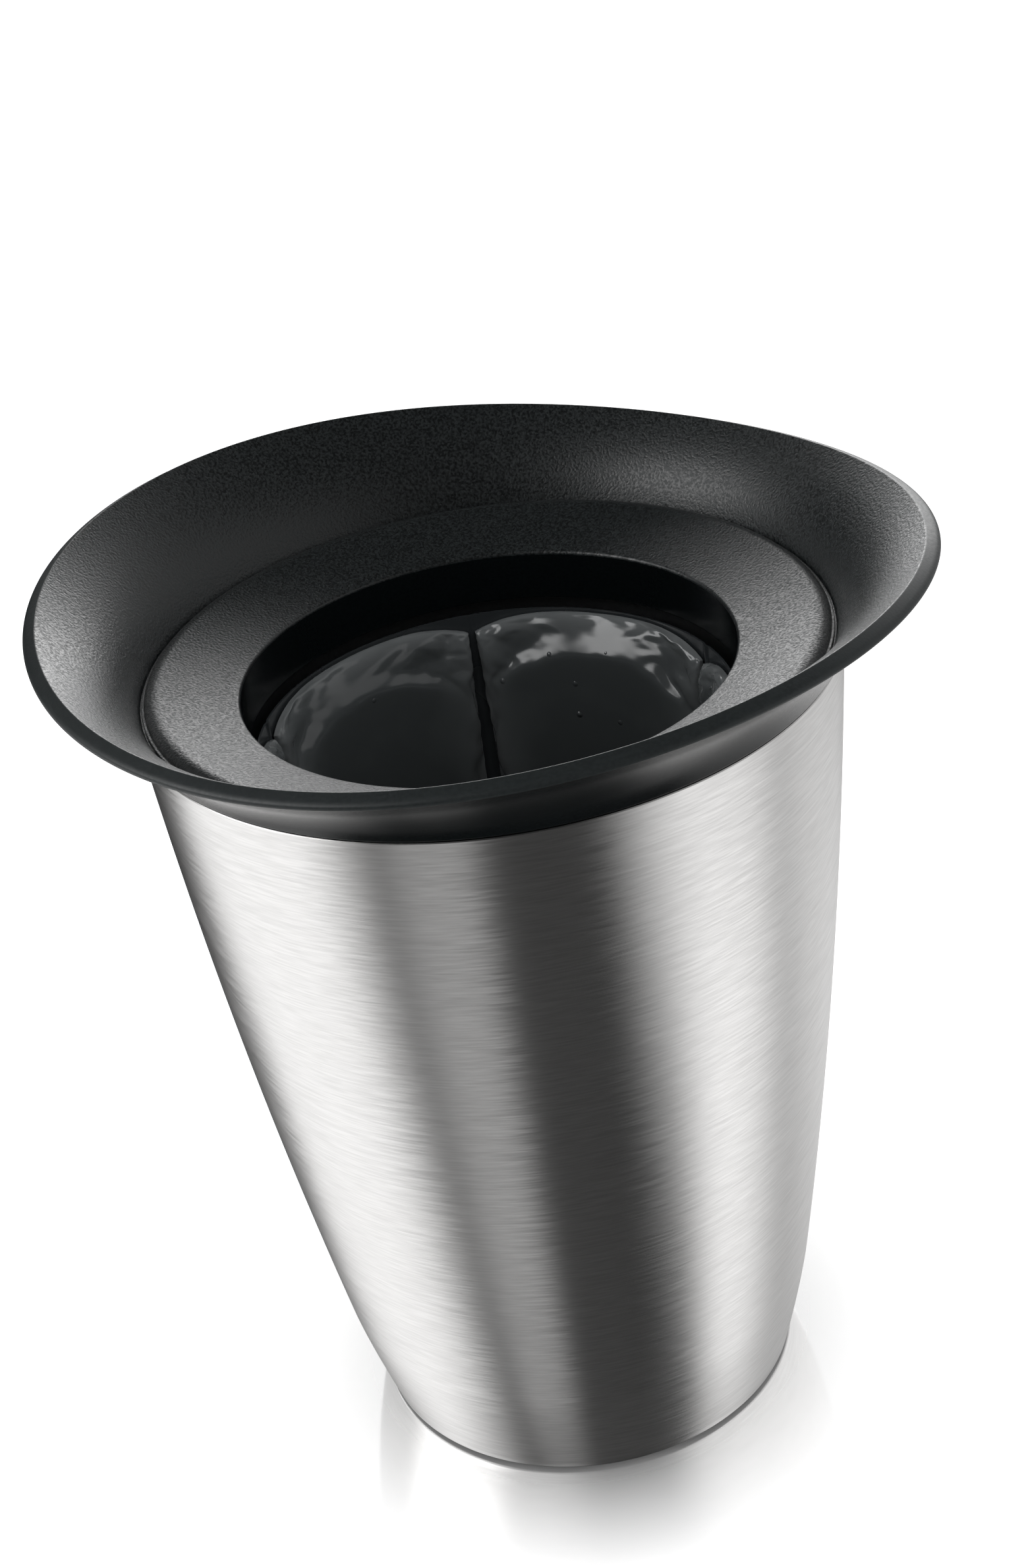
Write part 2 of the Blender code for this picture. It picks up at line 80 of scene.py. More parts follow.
class Slot(Enum):
    """The material slots."""

    STEEL = "steel"
    COLLAR = "collar_plastic"
    LINER = "liner_plastic"
    RUBBER = "rubber"
    SCREW = "screw_steel"
    FILM = "film"
    GEL = "gel"


class FaceValue(Enum):
    """What can be read from the faces of a mesh."""

    CENTRE = "center"
    NORMAL = "normal"


class Cut(Enum):
    """Ways in which one closed mesh changes another."""

    JOIN = "UNION"
    BORE = "DIFFERENCE"


def linear(code: str) -> Colour:
    """Turn an sRGB hex colour into the linear colour that a shader takes.

    Args:
        code: Colour as "#rrggbb".

    Returns:
        Linear red, green, blue and a full alpha.
    """
    channels = np.array([int(code[k : k + 2], 16) for k in (1, 3, 5)]) / 255
    curve = np.where(channels <= 0.04045, channels / 12.92, ((channels + 0.055) / 1.055) ** 2.4)
    return (*curve.tolist(), 1.0)


def add(tree: Tree, kind: str, inputs: dict, **settings) -> Node:
    """Add a node with its settings, and link or set its inputs.

    Args:
        tree: Node tree that takes the node.
        kind: Node type, such as "ShaderNodeBump".
        inputs: Socket name or number to the output linked to it, or to its own value.
        settings: Properties of the node itself.

    Returns:
        The new node.
    """
    node = tree.nodes.new(kind)
    for name, value in settings.items():
        setattr(node, name, value)
    feed(tree, node, inputs)
    return node


def feed(tree: Tree, node: Node, inputs: dict) -> None:
    """Link outputs to a node's inputs, or set the inputs' own values.

    Args:
        tree: Node tree that holds the node.
        node: Node with the inputs.
        inputs: Socket name or number to the output linked to it, or to its own value.
    """
    for socket, value in inputs.items():
        if isinstance(value, Socket):
            tree.links.new(value, node.inputs[socket])
        else:
            node.inputs[socket].default_value = value


def stretch(value: Socket, ends: tuple, source: tuple = NOISE_RANGE) -> dict:
    """Inputs that map a value from its source range to the range between two ends."""
    low, high = source
    return {"Value": value, "From Min": low, "From Max": high, "To Min": ends[0], "To Max": ends[1]}


def smooth_step(low: float, high: float, value: Array) -> Array:
    """0 below low, 1 above high, and a smooth S between them."""
    share = np.clip((value - low) / (high - low), 0, 1)
    return share * share * (3 - 2 * share)


def arc(centre: tuple, radius: float, start: float, end: float, count: int) -> Array:
    """Points on a circle of that radius, at evenly spaced angles in degrees.

    Args:
        centre: Radius and height of the middle. Arrays that end in an axis of 1 give one arc each.
        radius: Radius of the arc.
        start: First angle, from the outward direction towards up.
        end: Last angle.
        count: Number of points.

    Returns:
        Points of (radius, height), with the points on the axis before the last.
    """
    angle = np.radians(np.linspace(start, end, count))
    across = centre[0] + radius * np.cos(angle)
    up = centre[1] + radius * np.sin(angle)
    return np.stack(np.broadcast_arrays(across, up), -1)


def sweep(start: tuple, start_slope: float, end: tuple, end_slope: float, count: int) -> Array:
    """A cubic Bezier curve whose two handles are a fixed share of its chord.

    Args:
        start: Radius and height of the first point, numbers or arrays that end in an axis of 1.
        start_slope: Slope there, in degrees above outward.
        end: The last point.
        end_slope: Slope there.
        count: Number of points.

    Returns:
        Points of (radius, height), with the points on the axis before the last.
    """
    handle = 0.36
    first = np.stack(np.broadcast_arrays(*start, end[0])[:2], -1)
    last = np.stack(np.broadcast_arrays(*end, start[0])[:2], -1)
    reach = handle * np.linalg.norm(last - first, axis=-1, keepdims=True)
    slopes = np.radians([start_slope, end_slope])
    directions = np.stack([np.cos(slopes), np.sin(slopes)], -1)
    leave = first + reach * directions[0]
    arrive = last - reach * directions[1]
    t = np.linspace(0, 1, count)[:, None]
    return (1 - t) ** 3 * first + 3 * t * (1 - t) ** 2 * leave + 3 * t**2 * (1 - t) * arrive + t**3 * last


def soften(corners: Array, radius: float | Array, count: int = 5, closed: bool = True) -> Array:
    """Round the corners of an outline with quadratic Bezier curves that start and end on its sides.

    Args:
        corners: Points of (radius, height), with the points on the axis before the last.
        radius: How far from a corner its curve starts, at most just under half of the side. One for
            all the corners, or one for each.
        count: Points on each curve.
        closed: Whether the last corner joins the first.

    Returns:
        The outline with its corners rounded. An open one keeps its two ends.
    """
    if closed:
        corners = np.concatenate([corners[..., -1:, :], corners, corners[..., :1, :]], -2)
    most = 0.48
    here = corners[..., 1:-1, :]
    sides = [corners[..., :-2, :] - here, corners[..., 2:, :] - here]
    lengths = [np.linalg.norm(side, axis=-1, keepdims=True) for side in sides]
    reach = np.broadcast_to(radius, here.shape[-2])[:, None]
    ends = [here + side * np.minimum(reach / length, most) for side, length in zip(sides, lengths)]
    t = np.linspace(0, 1, count)[:, None]
    first, middle, last = (p[..., :, None, :] for p in (ends[0], here, ends[1]))
    curve = (1 - t) ** 2 * first + 2 * t * (1 - t) * middle + t**2 * last
    curve = curve.reshape(*curve.shape[:-3], -1, 2)
    return curve if closed else join(corners[..., :1, :], curve, corners[..., -1:, :])


def join(*parts: Array) -> Array:
    """Stretches of outline end to end, with a plain stretch repeated for every azimuth of the others.

    Args:
        parts: Stretches of (radius, height).

    Returns:
        The whole outline.
    """
    parts = [np.asarray(part, float) for part in parts]
    lead = np.broadcast_shapes(*(part.shape[:-2] for part in parts))
    return np.concatenate([np.broadcast_to(p, (*lead, *p.shape[-2:])) for p in parts], -2)


def azimuths(steps: int) -> Array:
    """Evenly spaced azimuths once round, in radians."""
    return np.arange(steps) * TURN / steps


def put_mesh(name: str, points: Array, faces: Array) -> Piece:
    """Make a closed mesh object with its seams and poles merged and its faces pointing out.

    Args:
        name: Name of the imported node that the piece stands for, or of a tool.
        points: Points in millimetres, (n, 3).
        faces: Corners of the four-sided faces, (m, 4).

    Returns:
        The new object, at the origin.
    """
    piece_name = name + PIECE_SUFFIX
    mesh = bpy.data.meshes.new(piece_name)
    mesh.from_pydata((points * MM).tolist(), [], faces.tolist())
    work = bmesh.new()
    work.from_mesh(mesh)
    bmesh.ops.remove_doubles(work, verts=work.verts, dist=MERGE_MM * MM)
    bmesh.ops.recalc_face_normals(work, faces=work.faces)
    work.to_mesh(mesh)
    work.free()
    mesh.shade_smooth()
    mesh.set_sharp_from_angle(angle=SHARP_ANGLE)
    piece = bpy.data.objects.new(piece_name, mesh)
    bpy.context.scene.collection.objects.link(piece)
    return piece


def ring_faces(steps: int, count: int, closed: bool) -> Array:
    """Faces between neighbouring azimuths and neighbouring points of a section.

    Args:
        steps: Azimuths, which close on themselves.
        count: Points in the section.
        closed: Whether the section's last point joins its first.

    Returns:
        Corners of the faces, (m, 4).
    """
    here = np.arange(steps)[:, None]
    low = np.arange(count if closed else count - 1)[None]
    after = (here + 1) % steps
    high = (low + 1) % count
    corners = (here * count + low, after * count + low, after * count + high, here * count + high)
    return np.stack(corners, -1).reshape(-1, 4)


def carry_round(name: str, section: Array, steps: int = 288, places: tuple = ((0.0, 0.0),)) -> Piece:
    """Carry a section once round an upright axis: x and y are the radius times cosine and sine.

    Args:
        name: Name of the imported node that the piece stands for, or of a tool.
        section: Points of (radius, height), one section or one for each azimuth. A section whose ends
            lie on the axis is open and closes in two poles. Any other is a loop.
        steps: Azimuths round the axis.
        places: Where the axis stands. Each place gives one body.

    Returns:
        The new piece.
    """
    section = np.broadcast_to(section, (steps, *section.shape[-2:]))
    closed = bool(section[0, 0, 0] > 0)
    angle = azimuths(steps)[:, None]
    radius, height = section[..., 0], section[..., 1]
    body = np.stack([radius * np.cos(angle), radius * np.sin(angle), height], -1).reshape(-1, 3)
    faces = ring_faces(steps, section.shape[1], closed)
    points = [body + (*place, 0.0) for place in places]
    quads = [faces + number * len(body) for number in range(len(places))]
    return put_mesh(name, np.concatenate(points), np.concatenate(quads))


def read_faces(piece: Piece, what: FaceValue) -> Array:
    """The centre or the normal of each face of a mesh.

    Args:
        piece: Piece with the mesh.
        what: Which of the two.

    Returns:
        Their X, Y and Z, (3, n).
    """
    faces = piece.data.polygons
    values = np.empty(len(faces) * 3, np.float32)
    faces.foreach_get(what.value, values)
    return values.reshape(-1, 3).T


def pick_slots(piece: Piece, slots: Array) -> None:
    """Say which of the piece's materials each face takes."""
    piece.data.polygons.foreach_set("material_index", np.asarray(slots, np.int32))


def mark(mesh: bpy.types.Mesh, name: str, values: Array) -> None:
    """Keep a number for each point of a mesh in an attribute of that name."""
    layer = mesh.attributes.new(name, "FLOAT", "POINT")
    layer.data.foreach_set("value", np.asarray(values, np.float32).ravel())


def read_points(piece: Piece) -> Array:
    """A mesh's points.

    Args:
        piece: Piece with the mesh.

    Returns:
        The points in millimetres, (n, 3).
    """
    points = np.empty(len(piece.data.vertices) * 3, np.float32)
    piece.data.vertices.foreach_get("co", points)
    return points.reshape(-1, 3).astype(float) / MM


def write_points(piece: Piece, points: Array) -> None:
    """Put points in millimetres into a mesh."""
    piece.data.vertices.foreach_set("co", (points * MM).astype(np.float32).ravel())
    piece.data.update()


def work_mesh(piece: Piece, tool: Piece, cut: Cut) -> None:
    """Join or bore a piece with a closed tool, keep the result in its mesh and remove the tool.

    Args:
        piece: Piece that is changed.
        tool: Closed mesh that changes it.
        cut: Whether the tool is joined or taken away.
    """
    modifier = piece.modifiers.new(tool.name, "BOOLEAN")
    modifier.operation = cut.value
    modifier.solver = "EXACT"
    modifier.object = tool
    result = piece.evaluated_get(bpy.context.evaluated_depsgraph_get())
    mesh = bpy.data.meshes.new_from_object(result)
    piece.modifiers.clear()
    piece.data = mesh
    mesh.set_sharp_from_angle(angle=SHARP_ANGLE)
    bpy.data.objects.remove(tool, do_unlink=True)


@dataclass(frozen=True)
class Finish:
    """A surface finish, named for the real material and how its surface was made."""

    name: str

    def material(self) -> Material:
        """The finish's material, which is made when it is first asked for."""
        return bpy.data.materials.get(self.name) or self.make()

    def make(self) -> Material:
        """Make the material and weave its nodes.

        Returns:
            The new material.
        """
        material = bpy.data.materials.new(self.name)
        material.use_nodes = True
        tree = material.node_tree
        place = add(tree, "ShaderNodeTexCoord", {}).outputs["Object"]
        self.weave(tree, tree.nodes["Principled BSDF"], place)
        return material

    def weave(self, tree: Tree, shader: Node, place: Socket) -> None:
        """Lead the finish's patterns into the shader.

        Args:
            tree: The material's node tree.
            shader: Its Principled shader.
            place: Its Object coordinates.
        """
        raise NotImplementedError

    def noise(self, tree: Tree, place: Socket, size_mm: tuple, detail: float = 2.0) -> Socket:
        """Noise whose blots are about size_mm along X, Y and Z.

        Args:
            tree: The material's node tree.
            place: Its Object coordinates.
            size_mm: Size of a blot along each axis.
            detail: Octaves of finer noise.

        Returns:
            The noise's output socket, round 0.5.
        """
        scale = [1 / (size * MM) for size in size_mm]
        vector = add(tree, "ShaderNodeMapping", {"Vector": place, "Scale": scale}).outputs[0]
        inputs = {"Vector": vector, "Scale": 1.0, "Detail": detail}
        return add(tree, "ShaderNodeTexNoise", inputs).outputs[0]

    def blend(self, tree: Tree, value: Socket, ends: tuple, source: tuple = NOISE_RANGE) -> Socket:
        """Colour that goes from one hex colour to another as a value goes through its source range.

        Args:
            tree: The material's node tree.
            value: Output that the colour follows.
            ends: The two hex colours.
            source: The value's range.

        Returns:
            The colour's output socket.
        """
        share = add(tree, "ShaderNodeMapRange", stretch(value, WHOLE, source)).outputs[0]
        # A Mix node has sockets for every type of value: the colours go in at 6 and 7 and out at 2.
        inputs = {0: share, 6: linear(ends[0]), 7: linear(ends[1])}
        return add(tree, "ShaderNodeMix", inputs, data_type="RGBA").outputs[2]


@dataclass(frozen=True)
class BrushedSteel(Finish):
    """Stainless steel, brushed round and round on a belt.

    The brushing draws each light into an upright band, covers it with fine level lines and frays its
    edges a little, because every line leans to one side or the other. The lines are drawn about twice
    as coarse as the real grit's, so that they show.
    """

    name: str = "stainless steel, brushed"
    colours: tuple[str, str] = ("#c6c5c4", "#d4d3d2")
    line_mm: tuple[float, float, float] = (8.0, 8.0, 0.4)
    streak_mm: tuple[float, float, float] = (10.0, 10.0, 0.5)
    detail: float = 3.0
    contrast: tuple[float, float] = (0.34, 0.66)
    roughness: tuple[float, float] = (0.28, 0.34)
    anisotropy: float = 0.8
    brush_turn: float = 0.25
    lean: float = 0.01

    def weave(self, tree: Tree, shader: Node, place: Socket) -> None:
        """Level lines vary the colour, and level streaks the gloss and the normal's lean to one side.

        Args:
            tree: The material's node tree.
            shader: Its Principled shader.
            place: Its Object coordinates.
        """
        lines = self.noise(tree, place, self.line_mm, self.detail)
        streaks = self.noise(tree, place, self.streak_mm, self.detail)
        along = add(tree, "ShaderNodeTangent", {}, direction_type="RADIAL", axis="Z").outputs[0]
        leans = stretch(streaks, (-self.lean, self.lean), self.contrast)
        lean = add(tree, "ShaderNodeMapRange", leans).outputs[0]
        aside = add(tree, "ShaderNodeVectorMath", {0: along, "Scale": lean}, operation="SCALE").outputs[0]
        flat = add(tree, "ShaderNodeNewGeometry", {}).outputs["Normal"]
        leant = add(tree, "ShaderNodeVectorMath", {0: flat, 1: aside}, operation="ADD").outputs[0]
        feed(tree, shader, {
            "Base Color": self.blend(tree, lines, self.colours, self.contrast),
            "Roughness": add(tree, "ShaderNodeMapRange", stretch(streaks, self.roughness)).outputs[0],
            "Normal": add(tree, "ShaderNodeVectorMath", {0: leant}, operation="NORMALIZE").outputs[0],
            "Tangent": along,
            "Metallic": 1.0,
            "Anisotropic": self.anisotropy,
            "Anisotropic Rotation": self.brush_turn,
        })


@dataclass(frozen=True)
class Moulding(Finish):
    """Black plastic or rubber from a mould, with or without the grain of a spark-eroded tool.

    The grain breaks a reflection into a soft even sheen with a fine sparkle, so the black reads grey
    where it faces a light and stays deep where it faces the dark. It is drawn a few times as coarse as
    the real one, so that it shows.
    """

    name: str = "ABS, spark-grained moulding"
    colours: tuple[str, str] = ("#060a0b", "#191f20")
    roughness: tuple[float, float] = (0.3, 0.5)
    grain_mm: float = 0.6
    grain_height_mm: float = 0.11
    contrast: tuple[float, float] = (0.38, 0.62)
    ior: float = 1.53
    sheen: float = 0.5

    def weave(self, tree: Tree, shader: Node, place: Socket) -> None:
        """A speckle of noise lifts the surface and varies its gloss and its colour.

        Args:
            tree: The material's node tree.
            shader: Its Principled shader.
            place: Its Object coordinates.
        """
        speckle = self.noise(tree, place, (self.grain_mm,) * 3)
        gloss = stretch(speckle, self.roughness, self.contrast)
        relief = {"Height": speckle, "Strength": 1.0, "Distance": self.grain_height_mm * MM}
        feed(tree, shader, {
            "Base Color": self.blend(tree, speckle, self.colours, self.contrast),
            "Roughness": add(tree, "ShaderNodeMapRange", gloss).outputs[0],
            "Normal": add(tree, "ShaderNodeBump", relief).outputs[0],
            "Specular IOR Level": self.sheen,
            "IOR": self.ior,
        })


@dataclass(frozen=True)
class ZincSteel(Finish):
    """Steel, zinc plated and passivated.

    It gives a cool grey gloss with a mottle of fine crystals, drawn coarser than they are so that it
    shows.
    """

    name: str = "steel, zinc plated"
    colours: tuple[str, str] = ("#b0b3b7", "#bcbfc3")
    crystal_mm: float = 0.3
    roughness: tuple[float, float] = (0.3, 0.36)

    def weave(self, tree: Tree, shader: Node, place: Socket) -> None:
        """A fine speckle varies the colour and the gloss.

        Args:
            tree: The material's node tree.
            shader: Its Principled shader.
            place: Its Object coordinates.
        """
        crystals = self.noise(tree, place, (self.crystal_mm,) * 3, detail=0.0)
        feed(tree, shader, {
            "Base Color": self.blend(tree, crystals, self.colours),
            "Roughness": add(tree, "ShaderNodeMapRange", stretch(crystals, self.roughness)).outputs[0],
            "Metallic": 1.0,
        })


@dataclass(frozen=True)
class GelFilm(Finish):
    """Dark gel behind clear vinyl film, welded shut at its edges.

    The film is glossy and a little slack, so it catches thin bright ridges. The gel goes darker as it
    gets deeper, and a few air bubbles under the film show as domes with a bright rim.
    """

    name: str = "gel in vinyl film, welded"
    colours: tuple[str, str] = ("#616465", "#3e4142")
    roughness: tuple[float, float] = (0.1, 0.2)
    ior: float = 1.53
    depth_range: tuple[float, float] = (0.3, 1.2)
    cloud_mm: float = 20.0
    cloud_share: float = 0.5
    wrinkle_mm: tuple[float, float, float] = (9.0, 9.0, 20.0)
    wrinkle_height_mm: float = 0.35
    wrinkle_strength: float = 0.6
    bubble_spacing_mm: float = 7.0
    bubble_mm: float = 0.9
    bubble_flat_mm: float = 0.3
    bubble_height_mm: float = 0.5
    bubble_share: float = 0.5

    def weave(self, tree: Tree, shader: Node, place: Socket) -> None:
        """The attribute "depth" darkens the gel, noise wrinkles the film, and some cells hold a bubble.

        Args:
            tree: The material's node tree.
            shader: Its Principled shader.
            place: Its Object coordinates.
        """
        depth = add(tree, "ShaderNodeAttribute", {}, attribute_name="depth").outputs["Fac"]
        cloud = self.noise(tree, place, (self.cloud_mm,) * 3)
        cloudy = {0: cloud, 1: self.cloud_share, 2: depth}
        mixed = add(tree, "ShaderNodeMath", cloudy, operation="MULTIPLY_ADD").outputs[0]
        fold = {
            "Height": self.noise(tree, place, self.wrinkle_mm, detail=1.0),
            "Strength": self.wrinkle_strength,
            "Distance": self.wrinkle_height_mm * MM,
        }
        slack = add(tree, "ShaderNodeBump", fold).outputs[0]
        spacing = self.bubble_spacing_mm
        scale = [1 / (spacing * MM)] * 3
        spots = add(tree, "ShaderNodeMapping", {"Vector": place, "Scale": scale}).outputs[0]
        cells = add(tree, "ShaderNodeTexVoronoi", {"Vector": spots, "Scale": 1.0}).outputs
        slope = (self.bubble_mm / spacing, self.bubble_flat_mm / spacing)
        dome = add(tree, "ShaderNodeMapRange", stretch(cells["Distance"], WHOLE, slope)).outputs[0]
        some = {0: cells["Color"], 1: self.bubble_share}
        held = add(tree, "ShaderNodeMath", some, operation="LESS_THAN").outputs[0]
        domes = add(tree, "ShaderNodeMath", {0: dome, 1: held}, operation="MULTIPLY").outputs[0]
        relief = {
            "Height": domes,
            "Strength": 1.0,
            "Distance": self.bubble_height_mm * MM,
            "Normal": slack,
        }
        feed(tree, shader, {
            "Base Color": self.blend(tree, mixed, self.colours, self.depth_range),
            "Roughness": add(tree, "ShaderNodeMapRange", stretch(cloud, self.roughness)).outputs[0],
            "Normal": add(tree, "ShaderNodeBump", relief).outputs[0],
            "IOR": self.ior,
        })


class Look(Enum):
    """The finishes that the pieces take."""

    STEEL = BrushedSteel()
    GRAINED = Moulding()
    # A smooth edge in a lighter grey, which draws the rim as one even line. The lighter grey is painted
    # sheen and painted highlight along the lip's band and nose.
    LIP = Moulding(
        "ABS, smooth moulding",
        ("#181d1e", "#1c2223"),
        (0.4, 0.48),
        grain_height_mm=0.02,
        sheen=0.4,
    )
    # Deep black with a faint but clear reflection, on faces left smooth. Its colour, darker than the
    # grained plastic's, is partly painted shade on the underside and on the tube down the well.
    SATIN = Moulding(
        "ABS, satin moulding",
        ("#080b0c", "#0b0f10"),
        (0.15, 0.19),
        grain_height_mm=0.005,
        sheen=0.06,
    )
    # Dark grey with a soft gloss.
    PLAIN = Moulding(
        "polypropylene, smooth moulding",
        ("#141516", "#1b1c1d"),
        (0.34, 0.42),
        grain_height_mm=0.02,
        ior=1.49,
    )
    # Sooty grey that hardly shines.
    RUBBER = Moulding(
        "silicone rubber, matte moulding",
        ("#161616", "#1f1f1f"),
        (0.62, 0.75),
        grain_height_mm=0.05,
        ior=1.41,
    )
    ZINC = ZincSteel()
    GEL = GelFilm()
    # Darker and duller than the pads, without bubbles.
    FILM = GelFilm("vinyl film, calendered", ("#2b2e30", "#202324"), (0.2, 0.3), bubble_share=0.0)


def dress(piece: Piece, body: Body, slot: Slot, *looks: Look) -> Piece:
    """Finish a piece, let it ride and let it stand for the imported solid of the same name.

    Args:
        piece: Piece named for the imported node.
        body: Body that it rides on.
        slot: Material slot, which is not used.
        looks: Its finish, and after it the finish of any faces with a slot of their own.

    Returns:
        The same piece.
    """
    for look in looks:
        piece.data.materials.append(look.value.material())
    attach(piece, body.value)
    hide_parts(piece.name.removesuffix(PIECE_SUFFIX))
    return piece


@dataclass
class SteelShell:
    """Tapered, barrelled steel wall with its foot tucked in and folded up into a flange under it."""

    rim_z: float = 0.9
    rim_round: float = 0.5
    rim_width: float = 1.8
    foot_z: float = 2.0
    top_z: float = 189.1
    top_r: float = 76.65
    lean: float = 13.1
    belly: float = 11.2
    tuck: float = 1.6
    tuck_height: float = 25.0
    tuck_power: float = 1.5
    wall: float = 0.6
    foot_fillet: float = 1.5
    hole_r: float = 42.0
    edge_round: float = 0.2
    rows: int = 120
    inner_rows: int = 40
    rim_points: int = 8
    heel_points: int = 6

    def radius(self, height: Array | float) -> Array:
        """Outer radius: the top's, less a lean and a square of the drop, less a tuck near the foot.

        Args:
            height: Height or heights above the table.

        Returns:
            The radius at each height.
        """
        drop = (self.top_z - height) / (self.top_z - self.foot_z)
        tuck = np.maximum(0, 1 - (height - self.foot_z) / self.tuck_height)
        return self.top_r - self.lean * drop - self.belly * drop**2 - self.tuck * tuck**self.tuck_power

    def section(self) -> Array:
        """The wall's closed outline: outside, folded rim, flange, inside and a rolled top edge.

        Returns:
            Points of (radius, height).
        """
        low_z = self.rim_z + self.rim_round
        low_r = float(self.radius(low_z)) - self.rim_round
        outer_z = np.linspace(self.top_z - self.edge_round, low_z, self.rows)
        outer = np.stack([self.radius(outer_z), outer_z], -1)
        rim = arc((low_r, low_z), self.rim_round, 0, -90, self.rim_points)[1:]
        heel_z = self.foot_z + self.foot_fillet
        heel_r = float(self.radius(heel_z)) - self.foot_fillet
        fold_r = low_r - self.rim_width
        floor_z = self.foot_z + self.wall
        corners = np.array([
            rim[-1],
            (fold_r, self.rim_z),
            (fold_r, self.foot_z),
            (self.hole_r, self.foot_z),
            (self.hole_r, floor_z),
            (heel_r, floor_z),
        ])
        flange = soften(corners, self.edge_round, closed=False)[1:]
        inner_fillet = self.foot_fillet - self.wall
        inner_heel = arc((heel_r, heel_z), inner_fillet, -90, 0, self.heel_points)[1:]
        inner_z = np.linspace(heel_z, self.top_z - self.edge_round, self.inner_rows)[1:]
        inner = np.stack([self.radius(inner_z) - self.wall, inner_z], -1)
        top = np.array([
            (self.radius(self.top_z) - self.wall + self.edge_round, self.top_z),
            (self.radius(self.top_z) - self.edge_round, self.top_z),
        ])
        return join(outer, rim, flange, inner_heel, inner, top)

    def build(self) -> list[Piece]:
        """Carry the section round and dress it."""
        return [dress(carry_round("steel_shell", self.section()), Body.BUCKET, Slot.STEEL, Look.STEEL)]


@dataclass
class Collar:
    """Flared collar with a rolled lip, a shelf for the neck ring and a skirt inside the steel.

    Its crest is a saddle: radius and height swing twice round with the cosine of twice the azimuth.
    """

    shell: SteelShell
    gap: float = 0.3
    crest_r: float = 93.4
    crest_r_swing: float = 2.9
    crest_z: float = 211.7
    crest_z_swing: float = 3.4
    lip_width: float = 2.9
    lip_band_drop: float = 1.1
    lip_nose: float = 0.6
    lip_drop: float = 2.4
    crest_round: float = 0.25
    lip_round: float = 0.6
    flare_foot_slope: float = 70.0
    crest_slope: float = 35.0
    under_foot_slope: float = 62.0
    shelf_outer_r: float = 75.1
    shelf_inner_r: float = 69.5
    shelf_top_z: float = 190.7
    shelf_bottom_z: float = 186.8
    skirt_wall: float = 2.2
    skirt_bottom_z: float = 179.0
    seal_z: tuple[float, float] = (183.0, 185.0)
    groove_depth: float = 1.1
    seal_round: float = 0.35
    edge_round: float = 0.3
    steps: int = 360
    flare_points: int = 56
    rolled_points: int = 4
    lip_points: int = 6
    under_points: int = 48
    skirt_points: int = 4

    def section(self) -> Array:
        """The closed outline at each azimuth: flare, lip, underside, skirt with its groove, shelf.

        The flare's last points are rounded together with the lip, so that the crest has no corner.

        Returns:
            Points of (radius, height) for each azimuth.
        """
        swing = np.cos(2 * azimuths(self.steps))[:, None]
        crest_r = self.crest_r + self.crest_r_swing * swing
        crest_z = self.crest_z + self.crest_z_swing * swing
        edge_r = crest_r + self.lip_width
        foot = (self.shelf_outer_r, self.shelf_top_z)
        crest = (crest_r, crest_z)
        flare = sweep(foot, self.flare_foot_slope, crest, self.crest_slope, self.flare_points)
        joint = (self.shell.top_r, self.shell.top_z + self.gap)
        tip = (edge_r - self.lip_nose, crest_z - self.lip_drop - self.gap)
        under = sweep(joint, self.under_foot_slope, tip, self.crest_slope, self.under_points)
        under = under[..., ::-1, :]
        corners = (
            (edge_r - self.lip_nose, crest_z - self.lip_band_drop),
            (edge_r, crest_z - self.lip_band_drop - self.lip_nose),
            (edge_r, crest_z - self.lip_drop),
        )
        lip = np.concatenate([np.stack(corner, -1) for corner in corners], -2)
        kept = self.flare_points - self.rolled_points
        crest_rounds = [self.crest_round] * (self.rolled_points - 1)
        rounds = np.array([*crest_rounds, *[self.lip_round] * len(corners), self.crest_round])
        edge = join(flare[..., kept:, :], lip, under[..., :2, :])
        rolled = soften(edge, rounds, self.lip_points, closed=False)
        skirt = join(under[-1][-2:], self.skirt())
        skirt = soften(skirt, self.edge_round, self.skirt_points, closed=False)[1:]
        return join(flare[..., :kept, :], rolled, under[..., 2:-1, :], skirt)

    def skirt(self) -> Array:
        """Corners of the skirt in the steel, from the joint line down and up again to the shelf.

        Returns:
            Points of (radius, height).
        """
        shell = self.shell
        tucked = shell.wall + self.gap
        low, high = self.seal_z
        groove_r = float(shell.radius(low)) - tucked - self.groove_depth
        inner_r = float(shell.radius(self.skirt_bottom_z)) - tucked - self.skirt_wall
        return np.array([
            (shell.top_r - tucked, shell.top_z + self.gap),
            (shell.radius(high) - tucked, high + self.gap),
            (groove_r, high + self.gap),
            (groove_r, low - self.gap),
            (shell.radius(low) - tucked, low - self.gap),
            (shell.radius(self.skirt_bottom_z) - tucked, self.skirt_bottom_z),
            (inner_r, self.skirt_bottom_z),
            (inner_r, self.shelf_bottom_z),
            (self.shelf_inner_r, self.shelf_bottom_z),
            (self.shelf_inner_r, self.shelf_top_z),
        ])

    def build_collar(self) -> Piece:
        """Carry the changing section round, and give the lip's band and the underside their own slots.

        Slot 0 is the top and the inside, slot 1 the lip's band and nose, and slot 2 the underside.

        Returns:
            The new piece.
        """
        collar = carry_round("flared_collar", self.section(), self.steps)
        x, y, z = read_faces(collar, FaceValue.CENTRE) / MM
        swing = np.cos(2 * np.arctan2(y, x))
        beyond = np.hypot(x, y) - self.crest_r - self.crest_r_swing * swing
        below = self.crest_z + self.crest_z_swing * swing - z
        down = read_faces(collar, FaceValue.NORMAL)[2] < 0
        outside = (beyond > 0) | (down & (z > self.shell.top_z + self.gap))
        band = (beyond > 0) & (below < self.lip_drop)
        # The lip's band and nose take a lighter grey that is painted sheen, and the underside takes a
        # darker black that is partly painted shade.
        pick_slots(collar, np.where(band, 1, 2 * outside))
        return collar

